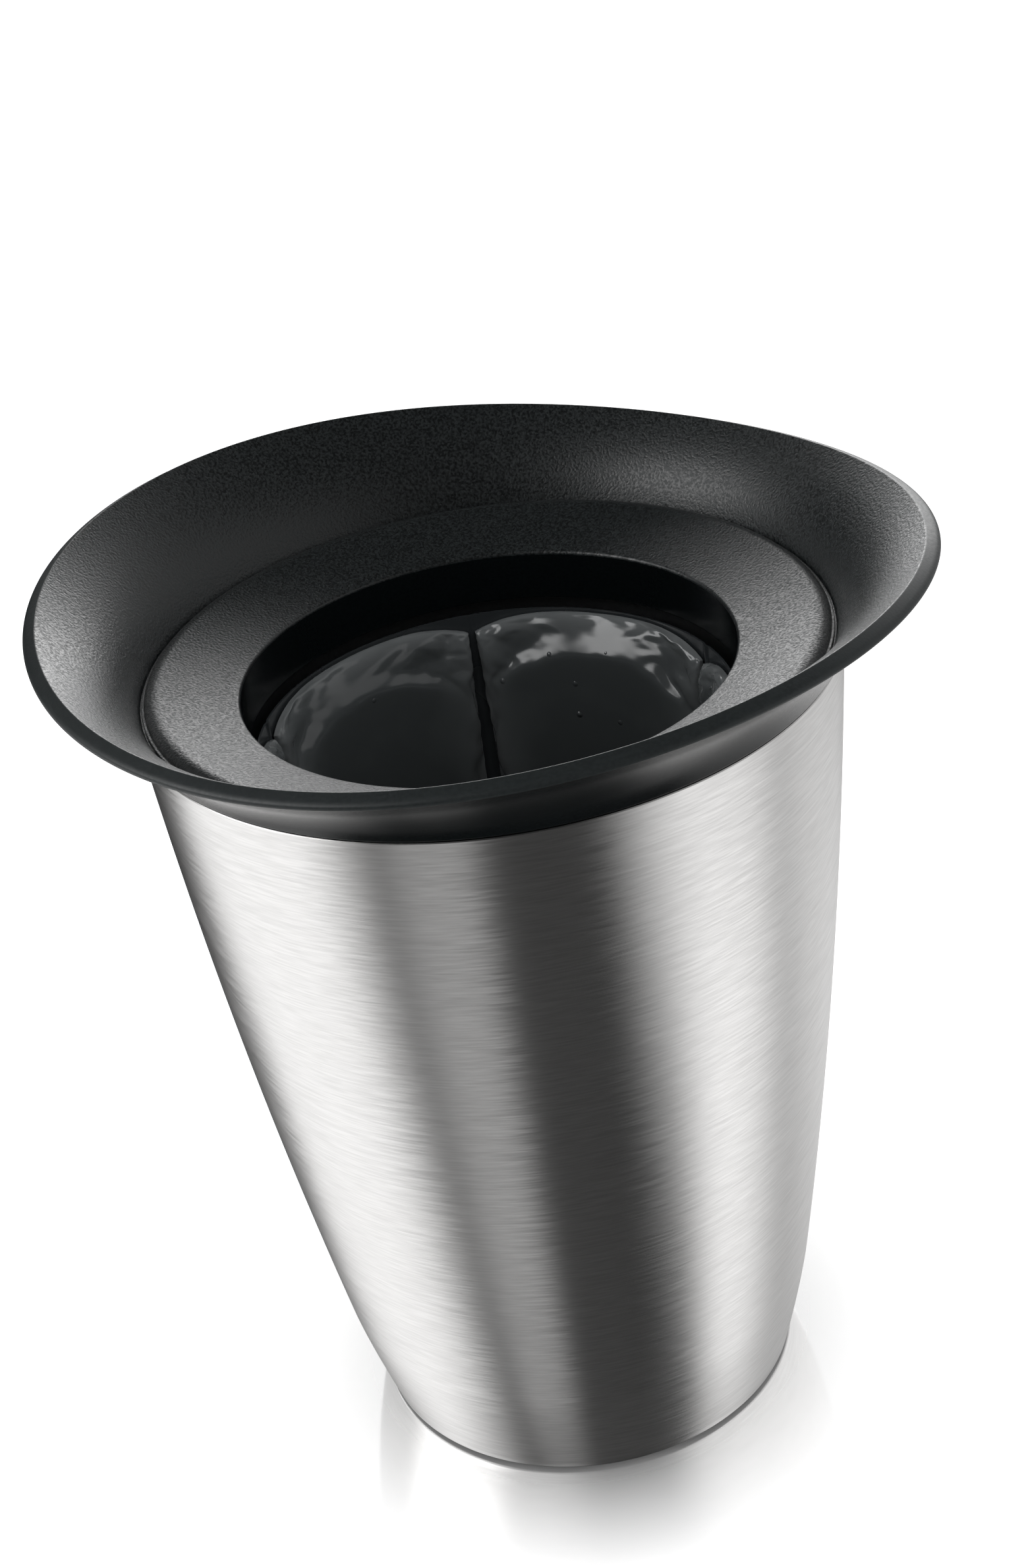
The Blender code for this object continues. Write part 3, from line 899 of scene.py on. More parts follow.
    def build_seal(self) -> Piece:
        """Rubber band of rounded section that fills the skirt's groove.

        Returns:
            The new piece.
        """
        low, high = self.seal_z
        outer_r = float(self.shell.radius(low)) - self.shell.wall - self.gap
        inner_r = outer_r - self.groove_depth + self.gap
        corners = np.array([(outer_r, high), (outer_r, low), (inner_r, low), (inner_r, high)])
        return carry_round("collar_seal", soften(corners, self.seal_round))

    def build(self) -> list[Piece]:
        """The collar and the seal in its groove, dressed.

        Returns:
            The two pieces.
        """
        collar = self.build_collar()
        return [
            dress(collar, Body.BUCKET, Slot.COLLAR, Look.GRAINED, Look.LIP, Look.SATIN),
            dress(self.build_seal(), Body.BUCKET, Slot.RUBBER, Look.RUBBER),
        ]


@dataclass
class NeckRing:
    """Raised, dished ledge round the opening, with a fine foot and a tube down into the well."""

    neck_r: float = 54.0
    tube_wall: float = 2.0
    bottom_z: float = 176.5
    inner: tuple[float, float] = (54.9, 188.5)
    outer: tuple[float, float] = (71.4, 193.32)
    brow_round: float = 3.0
    brow_end: float = 22.0
    edge_r: float = 74.25
    plate: float = 2.2
    root: tuple[float, float] = (57.6, 187.4)
    foot_r: float = 74.8
    foot_z: float = 191.0
    foot_thick: float = 0.4
    edge_round: float = 0.3
    edge_points: int = 14
    ledge_points: int = 16
    brow_points: int = 20

    def section(self) -> Array:
        """The closed outline: rolled inner edge, ledge, round outer edge, foot, underside and tube.

        The ledge is the line that touches both rounds, so its slope is that of the line between their
        centres plus the arc sine of the difference of their radii over its length.

        Returns:
            Points of (radius, height).
        """
        roll = self.inner[0] - self.neck_r
        bend = self.brow_round
        near = np.array(self.inner) - (0, roll)
        far = np.array(self.outer) - (0, bend)
        run, rise = far - near
        slope = math.degrees(math.atan2(rise, run) + math.asin((bend - roll) / math.hypot(run, rise)))
        edge = arc(near, roll, 180, 90 + slope, self.edge_points)
        brow = arc(far, bend, 90 + slope, self.brow_end, self.brow_points)
        share = np.linspace(0, 1, self.ledge_points)[1:-1, None]
        ledge = edge[-1] + (brow[0] - edge[-1]) * share
        foot_top = self.foot_z + self.foot_thick
        tube_r = self.neck_r + self.tube_wall
        corners = np.array([
            brow[-1],
            (self.edge_r, foot_top),
            (self.foot_r, foot_top),
            (self.foot_r, self.foot_z),
            (self.outer[0], self.foot_z),
            (self.outer[0] - self.plate, self.outer[1] - self.plate),
            self.root,
            (tube_r, self.root[1] - self.tube_wall),
            (tube_r, self.bottom_z),
            (self.neck_r, self.bottom_z),
            edge[0],
        ])
        return join(edge, ledge, brow, soften(corners, self.edge_round, closed=False)[1:-1])

    def build(self) -> list[Piece]:
        """Carry the section round, give the tube and the underside their own slot, and dress it.

        Returns:
            The ring alone.
        """
        ring = carry_round("neck_ring", self.section())
        height = read_faces(ring, FaceValue.CENTRE)[2]
        # The tube down the well and the underside take a darker black that is partly painted shade.
        pick_slots(ring, height < (self.inner[1] - self.tube_wall) * MM)
        return [dress(ring, Body.RING, Slot.COLLAR, Look.GRAINED, Look.SATIN)]


@dataclass
class Base:
    """Base cap, its four socket screws and the rubber ring that the cooler stands on."""

    cap_bottom_z: float = 0.8
    cap_rim_r: float = 46.0
    cap_rim_top_z: float = 1.7
    hub_r: float = 41.7
    hub_top_z: float = 7.7
    chamfer: float = 0.8
    cap_round: float = 0.25
    cap_points: int = 4
    cap_steps: int = 160
    gap: float = 0.3
    foot_r: tuple[float, float] = (31.0, 40.5)
    foot_top_z: float = 1.7
    foot_round: float = 0.5
    screw_count: int = 4
    screw_circle_r: float = 22.0
    head_r: float = 3.8
    head_z: tuple[float, float] = (1.2, 3.6)
    head_round: float = 0.4
    bevel_r: float = 2.2
    shank_r: float = 1.8
    neck_length: float = 0.6
    thread_start: float = 0.8
    tip_z: float = 12.3
    tip_bevel: tuple[float, float] = (0.7, 0.4)
    hex_half: float = 1.5
    hex_depth: float = 1.4
    thread_pitch: float = 0.7
    thread_depth: float = 0.35
    thread_points: int = 70
    bore_steps: int = 48
    bore_overrun: float = 1.0

    def places(self) -> tuple:
        """Centres of the screws, half way between the axes.

        Returns:
            X and Y of each screw.
        """
        angle = TURN * (np.arange(self.screw_count) + 0.5) / self.screw_count
        spots = np.stack([np.cos(angle), np.sin(angle)], -1) * self.screw_circle_r
        return tuple(map(tuple, spots.tolist()))

    def rod(self, name: str, corners: list) -> Piece:
        """A turned body at each screw, for joining and boring."""
        return carry_round(name, np.array(corners), self.bore_steps, self.places())

    def build_cap(self) -> Piece:
        """Turned cap with a groove for the foot ring, bored for the screws.

        Returns:
            The new piece.
        """
        groove_in = self.foot_r[0] - self.gap
        groove_out = self.foot_r[1] + self.gap
        groove_z = self.foot_top_z + self.gap
        corners = np.array([
            (0.0, self.hub_top_z),
            (self.hub_r - self.chamfer, self.hub_top_z),
            (self.hub_r, self.hub_top_z - self.chamfer),
            (self.hub_r, self.cap_rim_top_z),
            (self.cap_rim_r, self.cap_rim_top_z),
            (self.cap_rim_r, self.cap_bottom_z),
            (groove_out, self.cap_bottom_z),
            (groove_out, groove_z),
            (groove_in, groove_z),
            (groove_in, self.cap_bottom_z),
            (0.0, self.cap_bottom_z),
        ])
        outline = soften(corners, self.cap_round, self.cap_points, closed=False)
        cap = carry_round("base_cap", outline, self.cap_steps)
        head_r = self.head_r + self.gap
        shank_r = self.shank_r + self.gap
        step_z = self.head_z[1] + self.gap
        high = self.hub_top_z + self.bore_overrun
        low = self.cap_bottom_z - self.bore_overrun
        bore = [(0, high), (shank_r, high), (shank_r, step_z), (head_r, step_z), (head_r, low), (0, low)]
        work_mesh(cap, self.rod("screw_bores", bore), Cut.BORE)
        return cap

    def screw_section(self) -> Array:
        """Outline of a screw at each azimuth.

        The socket is a hexagon, whose radius is its half width over the cosine of the angle from the
        nearest flat. The thread is a triangle wave of height over pitch less the share of a turn.

        Returns:
            Points of (radius, height) for each azimuth.
        """
        angle = azimuths(self.bore_steps)[:, None]
        side = TURN / 6
        from_flat = (angle + side / 4) % side - side / 2
        socket_r = self.hex_half / np.cos(from_flat)
        low, high = self.head_z
        bevel, bevel_height = self.tip_bevel
        ends = (self.tip_z - bevel_height, high + self.thread_start)
        shank_z = np.linspace(*ends, self.thread_points)[None]
        phase = (shank_z / self.thread_pitch - angle / TURN) % 1
        shank_r = self.shank_r - self.thread_depth * np.abs(2 * phase - 1)
        shank = np.stack(np.broadcast_arrays(shank_r, shank_z), -1)
        tip = np.array([(0.0, self.tip_z), (self.shank_r - bevel, self.tip_z)])
        corners = np.array([
            (self.shank_r, high + self.neck_length),
            (self.shank_r, high),
            (self.head_r, high),
            (self.head_r, low),
            (self.bevel_r, low),
        ])
        head = soften(corners, self.head_round, closed=False)
        rim = np.stack(np.broadcast_arrays(socket_r, low), -1)
        pit = np.stack(np.broadcast_arrays(socket_r, low + self.hex_depth), -1)
        return join(tip, shank, head, rim, pit, np.array([(0.0, low + self.hex_depth)]))

    def build_screws(self) -> list[Piece]:
        """One piece for each screw.

        Returns:
            The new pieces.
        """
        section = self.screw_section()
        return [
            carry_round(f"base_screw_{number}", section, self.bore_steps, (place,))
            for number, place in enumerate(self.places(), start=1)
        ]

    def build_foot(self) -> Piece:
        """Rubber ring of rounded section.

        Returns:
            The new piece.
        """
        low, high = self.foot_r
        corners = np.array([(high, self.foot_top_z), (high, 0.0), (low, 0.0), (low, self.foot_top_z)])
        return carry_round("foot_ring", soften(corners, self.foot_round))

    def build(self) -> list[Piece]:
        """The cap, the foot ring and the screws, dressed.

        Returns:
            The six pieces.
        """
        cap = dress(self.build_cap(), Body.BUCKET, Slot.LINER, Look.PLAIN)
        foot = dress(self.build_foot(), Body.BUCKET, Slot.RUBBER, Look.RUBBER)
        screws = [dress(screw, Body.BUCKET, Slot.SCREW, Look.ZINC) for screw in self.build_screws()]
        return [cap, foot, *screws]


@dataclass
class Well:
    """Inner liner that forms the well, and the soft disc on its floor."""

    base: Base
    floor_z: float = 13.8
    floor_thick: float = 3.0
    floor_r: float = 50.2
    wall: float = 1.8
    top_r: float = 57.3
    top_z: float = 186.5
    flange_r: float = 72.5
    flange_thick: float = 2.0
    heel: float = 2.5
    boss_r: float = 5.0
    rest_r: float = 44.0
    rest_top_z: float = 17.1
    groove_radii: tuple[float, float] = (14.0, 28.0)
    groove_width: float = 2.4
    groove_depth: float = 1.0
    corner_round: float = 0.7
    groove_round: float = 0.8
    steps: int = 192

    def radius(self, height: float) -> float:
        """Inner radius of the drafted wall."""
        share = (height - self.floor_z) / (self.top_z - self.floor_z)
        return self.floor_r + (self.top_r - self.floor_r) * share

    def build_liner(self) -> Piece:
        """Turned cup with a flange, joined to four bosses and bored for the screws.

        Returns:
            The new piece.
        """
        under_z = self.floor_z - self.floor_thick
        flange_z = self.top_z - self.flange_thick
        heel_r = self.floor_r + self.wall
        corners = np.array([
            (0.0, self.floor_z),
            (self.floor_r, self.floor_z),
            (self.top_r, self.top_z),
            (self.flange_r, self.top_z),
            (self.flange_r, flange_z),
            (self.radius(flange_z) + self.wall, flange_z),
            (heel_r, self.floor_z),
            (heel_r - self.heel, under_z),
            (0.0, under_z),
        ])
        outline = soften(corners, self.corner_round, closed=False)
        liner = carry_round("inner_liner", outline, self.steps)
        base = self.base
        boss_z = base.hub_top_z + base.gap
        top_z = under_z + base.bore_overrun
        boss = [(0, top_z), (self.boss_r, top_z), (self.boss_r, boss_z), (0, boss_z)]
        work_mesh(liner, base.rod("bosses", boss), Cut.JOIN)
        pilot_r = base.shank_r + base.gap
        pilot_z = base.tip_z + base.gap
        pilot = [(0, pilot_z), (pilot_r, pilot_z), (pilot_r, 0), (0, 0)]
        work_mesh(liner, base.rod("pilots", pilot), Cut.BORE)
        return liner

    def build_rest(self) -> Piece:
        """Turned disc with two rounded drain grooves.

        Returns:
            The new piece.
        """
        half = self.groove_width / 2
        corners = [(0.0, self.rest_top_z)]
        for radius in self.groove_radii:
            corners += [
                (radius - half, self.rest_top_z),
                (radius, self.rest_top_z - self.groove_depth),
                (radius + half, self.rest_top_z),
            ]
        bottom_z = self.floor_z + self.base.gap
        corners += [(self.rest_r, self.rest_top_z), (self.rest_r, bottom_z), (0.0, bottom_z)]
        outline = soften(np.array(corners), self.groove_round, closed=False)
        return carry_round("bottle_rest", outline, self.steps)

    def build(self) -> list[Piece]:
        """The liner and the rest on its floor, dressed.

        Returns:
            The two pieces.
        """
        return [
            dress(self.build_liner(), Body.BUCKET, Slot.LINER, Look.PLAIN),
            dress(self.build_rest(), Body.BUCKET, Slot.RUBBER, Look.RUBBER),
        ]


@dataclass
class Sleeve:
    """Cooling sleeve: gel pads side by side in a cone of backing film."""

    bottom_z: float = 14.9
    top_z: float = 174.5
    bottom_r: float = 49.7
    top_r: float = 52.9
    film: float = 0.5
    film_grid: tuple[int, int] = (720, 40)
    count: int = 5
    first_crease: float = math.radians(64)
    side_gap: float = math.radians(0.9)
    side_draw: float = math.radians(1.3)
    crease_gap: float = math.radians(0.3)
    back_gap: float = 0.45
    pad_z: tuple[float, float] = (15.5, 174.0)
    corner_drop: float = 3.5
    edge: float = 0.9
    crown_r: float = 45.8
    least_r: float = 44.4
    start_share: float = 0.9
    travel: float = 1.6
    side_power: int = 4
    end_power: int = 30
    weld_pinch: float = 0.35
    weld_width: float = math.radians(0.8)
    columns: int = 44
    rows: int = 88
    frames: int = 20
    quality: int = 6
    pressure: float = 4.0
    slack: float = 0.03
    jitter: float = 0.05
    seed: int = 7

    def radius(self, height: Array) -> Array:
        """Outer radius of the film's cone."""
        share = (height - self.bottom_z) / (self.top_z - self.bottom_z)
        return self.bottom_r + (self.top_r - self.bottom_r) * share

    def build_film(self) -> Piece:
        """Thin cone, pinched inward by a bell curve of the azimuth at each weld between two pads.

        Returns:
            The new piece.
        """
        steps, rows = self.film_grid
        angle = azimuths(steps)[:, None]
        pitch = TURN / self.count
        from_weld = (angle - self.first_crease + pitch / 2) % pitch - pitch / 2
        pinch = self.weld_pinch * np.exp(-((from_weld / self.weld_width) ** 2))
        height = np.linspace(self.bottom_z, self.top_z, rows)[None]
        outer = self.radius(height) - pinch
        wall = np.stack(np.broadcast_arrays(outer, height), -1)
        inner = wall[:, ::-1] - (self.film, 0.0)
        return carry_round("sleeve_film", join(wall, inner), steps)

    def pad_points(self, centre: float, fullness: float, share: float) -> tuple[Array, Array]:
        """A face of a pad on a grid of (rows, columns).

        Across and up run from -1 to 1 with the sine, so they crowd towards the welds. The back lies
        along the film. The front stands off it by the edge plus a crown, the square root of
        (1 - across^side_power)(1 - up^end_power), and the sides and corners are drawn in.

        Args:
            centre: Azimuth of the pad's middle.
            fullness: 0 for the back and 1 for the front.
            share: How much of its crown the pad has.

        Returns:
            Points in millimetres, (rows, columns, 3), and the crown, (rows, columns).
        """
        across = np.sin(math.pi / 2 * np.linspace(-1, 1, self.columns))[None]
        up = np.sin(math.pi / 2 * np.linspace(-1, 1, self.rows))[:, None]
        low, high = self.pad_z
        half_angle = math.pi / self.count - self.side_gap - self.side_draw * (1 - up**2)
        azimuth = centre + across * half_angle
        height = (high + low) / 2 + up * ((high - low) / 2 - self.corner_drop * across**self.side_power)
        back_r = self.radius(height) - self.film - self.back_gap
        crown = np.sqrt(np.clip((1 - across**self.side_power) * (1 - up**self.end_power), 0, 1))
        thick = self.edge + (back_r - self.crown_r - self.edge) * crown * share
        radius = back_r - fullness * thick
        points = np.broadcast_arrays(radius * np.cos(azimuth), radius * np.sin(azimuth), height)
        return np.stack(points, -1), crown

    def build_pad(self, number: int) -> Piece:
        """A pad as a closed grid: its back, its front and the narrow rim between them.

        Args:
            number: The pad's number, from 1.

        Returns:
            The new piece.
        """
        centre = self.centre(number)
        back, crown = self.pad_points(centre, 0.0, 1.0)
        front, _ = self.pad_points(centre, 1.0, self.start_share)
        size = self.rows * self.columns
        index = np.arange(size).reshape(self.rows, self.columns)
        corners = (index[:-1, :-1], index[:-1, 1:], index[1:, 1:], index[1:, :-1])
        cells = np.stack(corners, -1).reshape(-1, 4)
        rim = np.concatenate([index[0], index[1:-1, -1], index[-1, ::-1], index[1:-1, 0][::-1]])
        after = np.roll(rim, -1)
        sides = np.stack([rim, after, after + size, rim + size], -1)
        points = np.concatenate([back.reshape(-1, 3), front.reshape(-1, 3)])
        faces = np.concatenate([cells[:, ::-1], cells + size, sides])
        pad = put_mesh(f"gel_pad_{number}", points, faces)
        mark(pad.data, "depth", np.stack([crown, crown]))
        held = np.concatenate([np.arange(size), rim + size])
        pad.vertex_groups.new(name="weld").add(held.tolist(), 1.0, "REPLACE")
        return pad

    def centre(self, number: int) -> float:
        """Azimuth of a pad's middle."""
        return self.first_crease + TURN * (number - 0.5) / self.count

    def swell(self, pads: list[Piece]) -> None:
        """Blow the pads up as welded cloth, and keep each point near where it started.

        Every point moves at most the travel, leaves the middle of the well free and stays on its own
        side of the creases.

        Args:
            pads: The pads, with their welded points in the vertex group "weld".
        """
        starts = [read_points(pad) for pad in pads]
        chance = np.random.default_rng(self.seed)
        for pad, start in zip(pads, starts):
            write_points(pad, start + chance.normal(0, self.jitter, start.shape))
            cloth = pad.modifiers.new("gel", "CLOTH")
            settings = cloth.settings
            settings.vertex_group_mass = "weld"
            settings.quality = self.quality
            settings.use_pressure = True
            settings.uniform_pressure_force = self.pressure
            settings.effector_weights.gravity = 0.0
            settings.shrink_min = -self.slack
            cloth.collision_settings.use_collision = False
        scene = bpy.context.scene
        for number in range(1, self.frames + 1):
            scene.frame_set(number)
        graph = bpy.context.evaluated_depsgraph_get()
        ends = [read_points(pad.evaluated_get(graph)) for pad in pads]
        for number, (pad, start, end) in enumerate(zip(pads, starts, ends), start=1):
            pad.modifiers.clear()
            write_points(pad, self.held_in(start, end, self.centre(number)))
        scene.frame_set(1)

    def held_in(self, start: Array, end: Array, centre: float) -> Array:
        """Hold the swollen points within the travel, clear of the well's middle and inside the creases.

        Args:
            start: Points before the pad swelled, (n, 3).
            end: The same points after it.
            centre: Azimuth of the pad's middle.

        Returns:
            Where the points go, (n, 3).
        """
        move = end - start
        length = np.linalg.norm(move, axis=1, keepdims=True)
        points = start + move * np.minimum(1, self.travel / np.maximum(length, 1e-9))
        radius = np.hypot(points[:, 0], points[:, 1])
        azimuth = np.arctan2(points[:, 1], points[:, 0]) - centre
        azimuth = (azimuth + math.pi) % TURN - math.pi
        half = math.pi / self.count - self.crease_gap
        azimuth = centre + np.clip(azimuth, -half, half)
        back = self.radius(points[:, 2]) - self.film - self.back_gap
        radius = np.clip(radius, self.least_r, back)
        height = np.clip(points[:, 2], *self.pad_z)
        return np.stack([radius * np.cos(azimuth), radius * np.sin(azimuth), height], -1)

    def build_pads(self) -> list[Piece]:
        """All the pads, swollen and smoothed once.

        Returns:
            The new pieces.
        """
        pads = [self.build_pad(number) for number in range(1, self.count + 1)]
        self.swell(pads)
        for pad in pads:
            smooth = pad.modifiers.new("smooth", "SUBSURF")
            smooth.levels = 1
            smooth.render_levels = 1
        return pads

    def build(self) -> list[Piece]:
        """The film and its pads, dressed."""
        film = dress(self.build_film(), Body.SLEEVE, Slot.FILM, Look.FILM)
        return [film] + [dress(pad, Body.SLEEVE, Slot.GEL, Look.GEL) for pad in self.build_pads()]


@dataclass
class Viewpoint:
    """Where the photo was taken from: close, well above the rim, with the camera rolled a little."""

    place: tuple[float, float, float] = (343.07, -367.89, 440.23)
    turn: float = 42.78
    pitch: float = 29.384
    roll: float = -8.533
    lens: float = 59.80
    sensor: float = 36.0
    near: float = 10.0

    def build(self) -> None:
        """Make the camera from its own axes: right and up rolled about the line of sight."""
        turn, pitch, roll = np.radians([self.turn, self.pitch, self.roll])
        level = np.array([-math.sin(turn), math.cos(turn), 0.0])
        ahead = math.cos(pitch) * level - (0.0, 0.0, math.sin(pitch))
        right = np.array([math.cos(turn), math.sin(turn), 0.0])
        up = np.cross(right, ahead)
        axes = np.eye(4)
        axes[:3, 0] = math.cos(roll) * right + math.sin(roll) * up
        axes[:3, 1] = math.cos(roll) * up - math.sin(roll) * right
        axes[:3, 2] = -ahead
        axes[:3, 3] = np.array(self.place) * MM
        lens = bpy.data.cameras.new("camera")
        lens.lens = self.lens
        lens.sensor_width = self.sensor
        lens.clip_start = self.near * MM
        camera = bpy.data.objects.new("camera", lens)
        camera.matrix_world = Matrix(axes.tolist())
        bpy.context.scene.collection.objects.link(camera)
        bpy.context.scene.camera = camera


@dataclass(frozen=True)
class Panel:
    """A softbox or a dark flag on the tent: where it hangs, how its edges fade and how it glows.

    Azimuths are in degrees from the camera's side, to the right, and elevations from the horizon.
    """

    azimuth: float
    half_width: float
    feather: float
    glow: float
    elevation: tuple[float, float] = (-90.0, 90.0)
    fade: float = 16.0

    def share(self, azimuth: Array, elevation: Array) -> Array:
        """How much of the panel is in each direction: 1 inside it, easing to 0 across its edges.

        Args:
            azimuth: Azimuths in degrees.
            elevation: Elevations in degrees.

        Returns:
            The panel's share in each direction.
        """
        off = np.abs((azimuth - self.azimuth + 180) % 360 - 180)
        across = 1 - smooth_step(self.half_width, self.half_width + self.feather, off)
        low, high = self.elevation
        half = self.fade / 2
        above = smooth_step(low - half, low + half, elevation)
        below = 1 - smooth_step(high - half, high + half, elevation)
        return across * above * below


@dataclass
class Studio:
    """White table, plain soft light, and a light tent that only the cooler's gloss can see.

    The tent is a sphere of softboxes and dark flags. Its lower half is what a glossy table mirrors
    back at the steel. The table itself mirrors a plain white backdrop behind the tent.
    """

    view: Viewpoint
    tent_r: float = 2600.0
    backdrop_r: float = 2700.0
    grid: tuple[int, int] = (240, 121)
    tent_glow: float = 0.06
    again_glow: tuple[float, float] = (0.05, 0.8)
    again_flag: Panel = Panel(14, 14, 36, 0.0)
    again_depth: float = 1.5
    horizon_fade: float = 10.0
    panels: tuple[Panel, ...] = (
        Panel(95, 46, 27, 0.59, (-99, 47), 14),  # a wide grey wall on the right
        Panel(-82, 14, 21, 4.3, (23, 51), 9),  # a bright box high on the left
        Panel(177, 24, 5, 6.0, (5, 31), 6),  # the brightest box, behind the cooler
        Panel(171, 53, 24, 1.54, (-36, -29), 23),  # a low strip behind it
        Panel(-96, 23, 28, 1.5, (-61, 5), 10),  # the steel's bright band on the left
        Panel(67, 15, 26, 1.72, (-61, -27), 8),  # the steel's bright band on the right
        Panel(42, 7, 23, 0.0, (-92, -40), 12),  # a dark flag beside that band
        Panel(-28, 8, 13, 0.64, (-65, -22), 10),  # the steel's grey stripe left of its middle
        Panel(-149, 15, 12, 0.0, (-41, 23), 6),  # a dark flag behind on the left
        Panel(79, 68, 68, 0.08, (-100, -62), 7),  # a dark floor on the right
    )
    sky_tint: str = "#ffffff"
    ambient: float = 1.0
    table_r: float = 9000.0
    table_sides: int = 96
    table_glow: float = 0.6
    table_tint: str = "#e8e8e8"
    table_roughness: float = 0.08
    mirror_share: float = 0.86
    mirror_reach: tuple[float, float] = (50.0, 90.0)
    shade_r: tuple[float, float] = (49.5, 51.8)
    shade_depth: float = 0.2
    shade_tint: str = "#000000"

    def glow(self, azimuth: Array, elevation: Array) -> Array:
        """Glow of the tent by direction: each panel in turn is mixed over the tent's own glow.

        Args:
            azimuth: Azimuths in degrees.
            elevation: Elevations in degrees.

        Returns:
            The glow in each direction.
        """
        glow = np.full(np.broadcast_shapes(azimuth.shape, elevation.shape), self.tent_glow)
        for panel in self.panels:
            glow = glow + (panel.glow - glow) * panel.share(azimuth, elevation)
        return glow

    def again(self, azimuth: Array, elevation: Array) -> Array:
        """Glow added for a ray that has met the cooler before: more above the horizon, but for a flag.

        Args:
            azimuth: Azimuths in degrees.
            elevation: Elevations in degrees.

        Returns:
            The added glow in each direction.
        """
        low, high = self.again_glow
        sky = smooth_step(-self.horizon_fade, self.horizon_fade, elevation)
        return low + (high - low) * sky * (1 - self.again_flag.share(azimuth, elevation))

    def blank(self, name: str) -> tuple[Material, Tree]:
        """A stage material without any nodes, and its tree.

        Args:
            name: Name of the material.

        Returns:
            The material and its node tree.
        """
        material = bpy.data.materials.new(name)
        material.use_nodes = True
        material.node_tree.nodes.clear()
        return material, material.node_tree

    def disc(self, radius: float, height: float) -> bpy.types.Mesh:
        """A level disc round the cooler's axis.

        Args:
            radius: Radius of the disc.
            height: Its height above the table.

        Returns:
            The new mesh.
        """
        angle = azimuths(self.table_sides)
        rim = np.stack([np.cos(angle) * radius, np.sin(angle) * radius, np.full_like(angle, height)], -1)
        mesh = bpy.data.meshes.new("disc")
        mesh.from_pydata((rim * MM).tolist(), [], [list(range(self.table_sides))])
        return mesh

    def fall_off(self, tree: Tree, reach: tuple[float, float], ends: tuple, **settings) -> Socket:
        """A value that goes from one end to the other as the distance from the foot's middle grows.

        Args:
            tree: The material's node tree.
            reach: Distances at which the change starts and stops.
            ends: The values there.
            settings: Properties of the Map Range node.

        Returns:
            The value's output socket.
        """
        place = add(tree, "ShaderNodeTexCoord", {}).outputs["Object"]
        away = add(tree, "ShaderNodeVectorMath", {0: place}, operation="LENGTH").outputs["Value"]
        near, far = reach
        inputs = stretch(away, ends, (near * MM, far * MM))
        return add(tree, "ShaderNodeMapRange", inputs, **settings).outputs[0]

    def put(self, name: str, mesh: bpy.types.Mesh, material: Material) -> bpy.types.Object:
        """Link a stage object, which isn't part of the cooler.

        Args:
            name: Name of the object.
            mesh: Its mesh.
            material: Its material.

        Returns:
            The new object.
        """
        mesh.materials.append(material)
        item = bpy.data.objects.new(name, mesh)
        bpy.context.scene.collection.objects.link(item)
        return item

    def leave_to_gloss(self, item: bpy.types.Object) -> None:
        """Let reflections alone see a stage object.

        Args:
            item: The stage object.
        """
        item.visible_camera = False
        item.visible_diffuse = False
        item.visible_transmission = False
        item.visible_shadow = False

    def build_dome(self, name: str, radius: float, lit: list[bpy.types.Object], clear: bool) -> None:
        """A sphere on a grid of azimuth and elevation, seen by the gloss of some objects alone.

        Args:
            name: Name of the dome.
            radius: Its radius.
            lit: Objects whose gloss sees it.
            clear: True for the tent, whose points hold their own glow and which lets the rest pass
                through it, and False for a plain white dome.
        """
        across = np.linspace(0, 360, self.grid[0], endpoint=False)[:, None]
        up = np.linspace(-90, 90, self.grid[1])[None]
        angle = np.radians(across + self.view.turn - 90)
        level, height = np.cos(np.radians(up)), np.sin(np.radians(up))
        sphere = np.broadcast_arrays(level * np.cos(angle), level * np.sin(angle), height)
        points = np.stack(sphere, -1).reshape(-1, 3) * radius * MM
        mesh = bpy.data.meshes.new(name)
        mesh.from_pydata(points.tolist(), [], ring_faces(*self.grid, False).tolist())
        material, tree = self.blank(name + " cloth, lit from behind")
        light = add(tree, "ShaderNodeEmission", {})
        surface = light.outputs[0]
        if clear:
            mark(mesh, "glow", self.glow(across, up))
            mark(mesh, "again", self.again(across, up))
            first = add(tree, "ShaderNodeAttribute", {}, attribute_name="glow").outputs["Fac"]
            again = add(tree, "ShaderNodeAttribute", {}, attribute_name="again").outputs["Fac"]
            depth = {0: add(tree, "ShaderNodeLightPath", {}).outputs["Ray Depth"], 1: self.again_depth}
            later = add(tree, "ShaderNodeMath", depth, operation="GREATER_THAN").outputs[0]
            both = {0: later, 1: again, 2: first}
            glow = add(tree, "ShaderNodeMath", both, operation="MULTIPLY_ADD").outputs[0]
            feed(tree, light, {"Strength": glow})
            through = add(tree, "ShaderNodeBsdfTransparent", {}).outputs[0]
            surface = add(tree, "ShaderNodeAddShader", {0: surface, 1: through}).outputs[0]
        add(tree, "ShaderNodeOutputMaterial", {"Surface": surface})
        material.cycles.emission_sampling = "NONE"
        dome = self.put(name, mesh, material)
        self.leave_to_gloss(dome)
        receivers = bpy.data.collections.new("lit_by_" + name)
        for item in lit:
            receivers.objects.link(item)
        dome.light_linking.receiver_collection = receivers

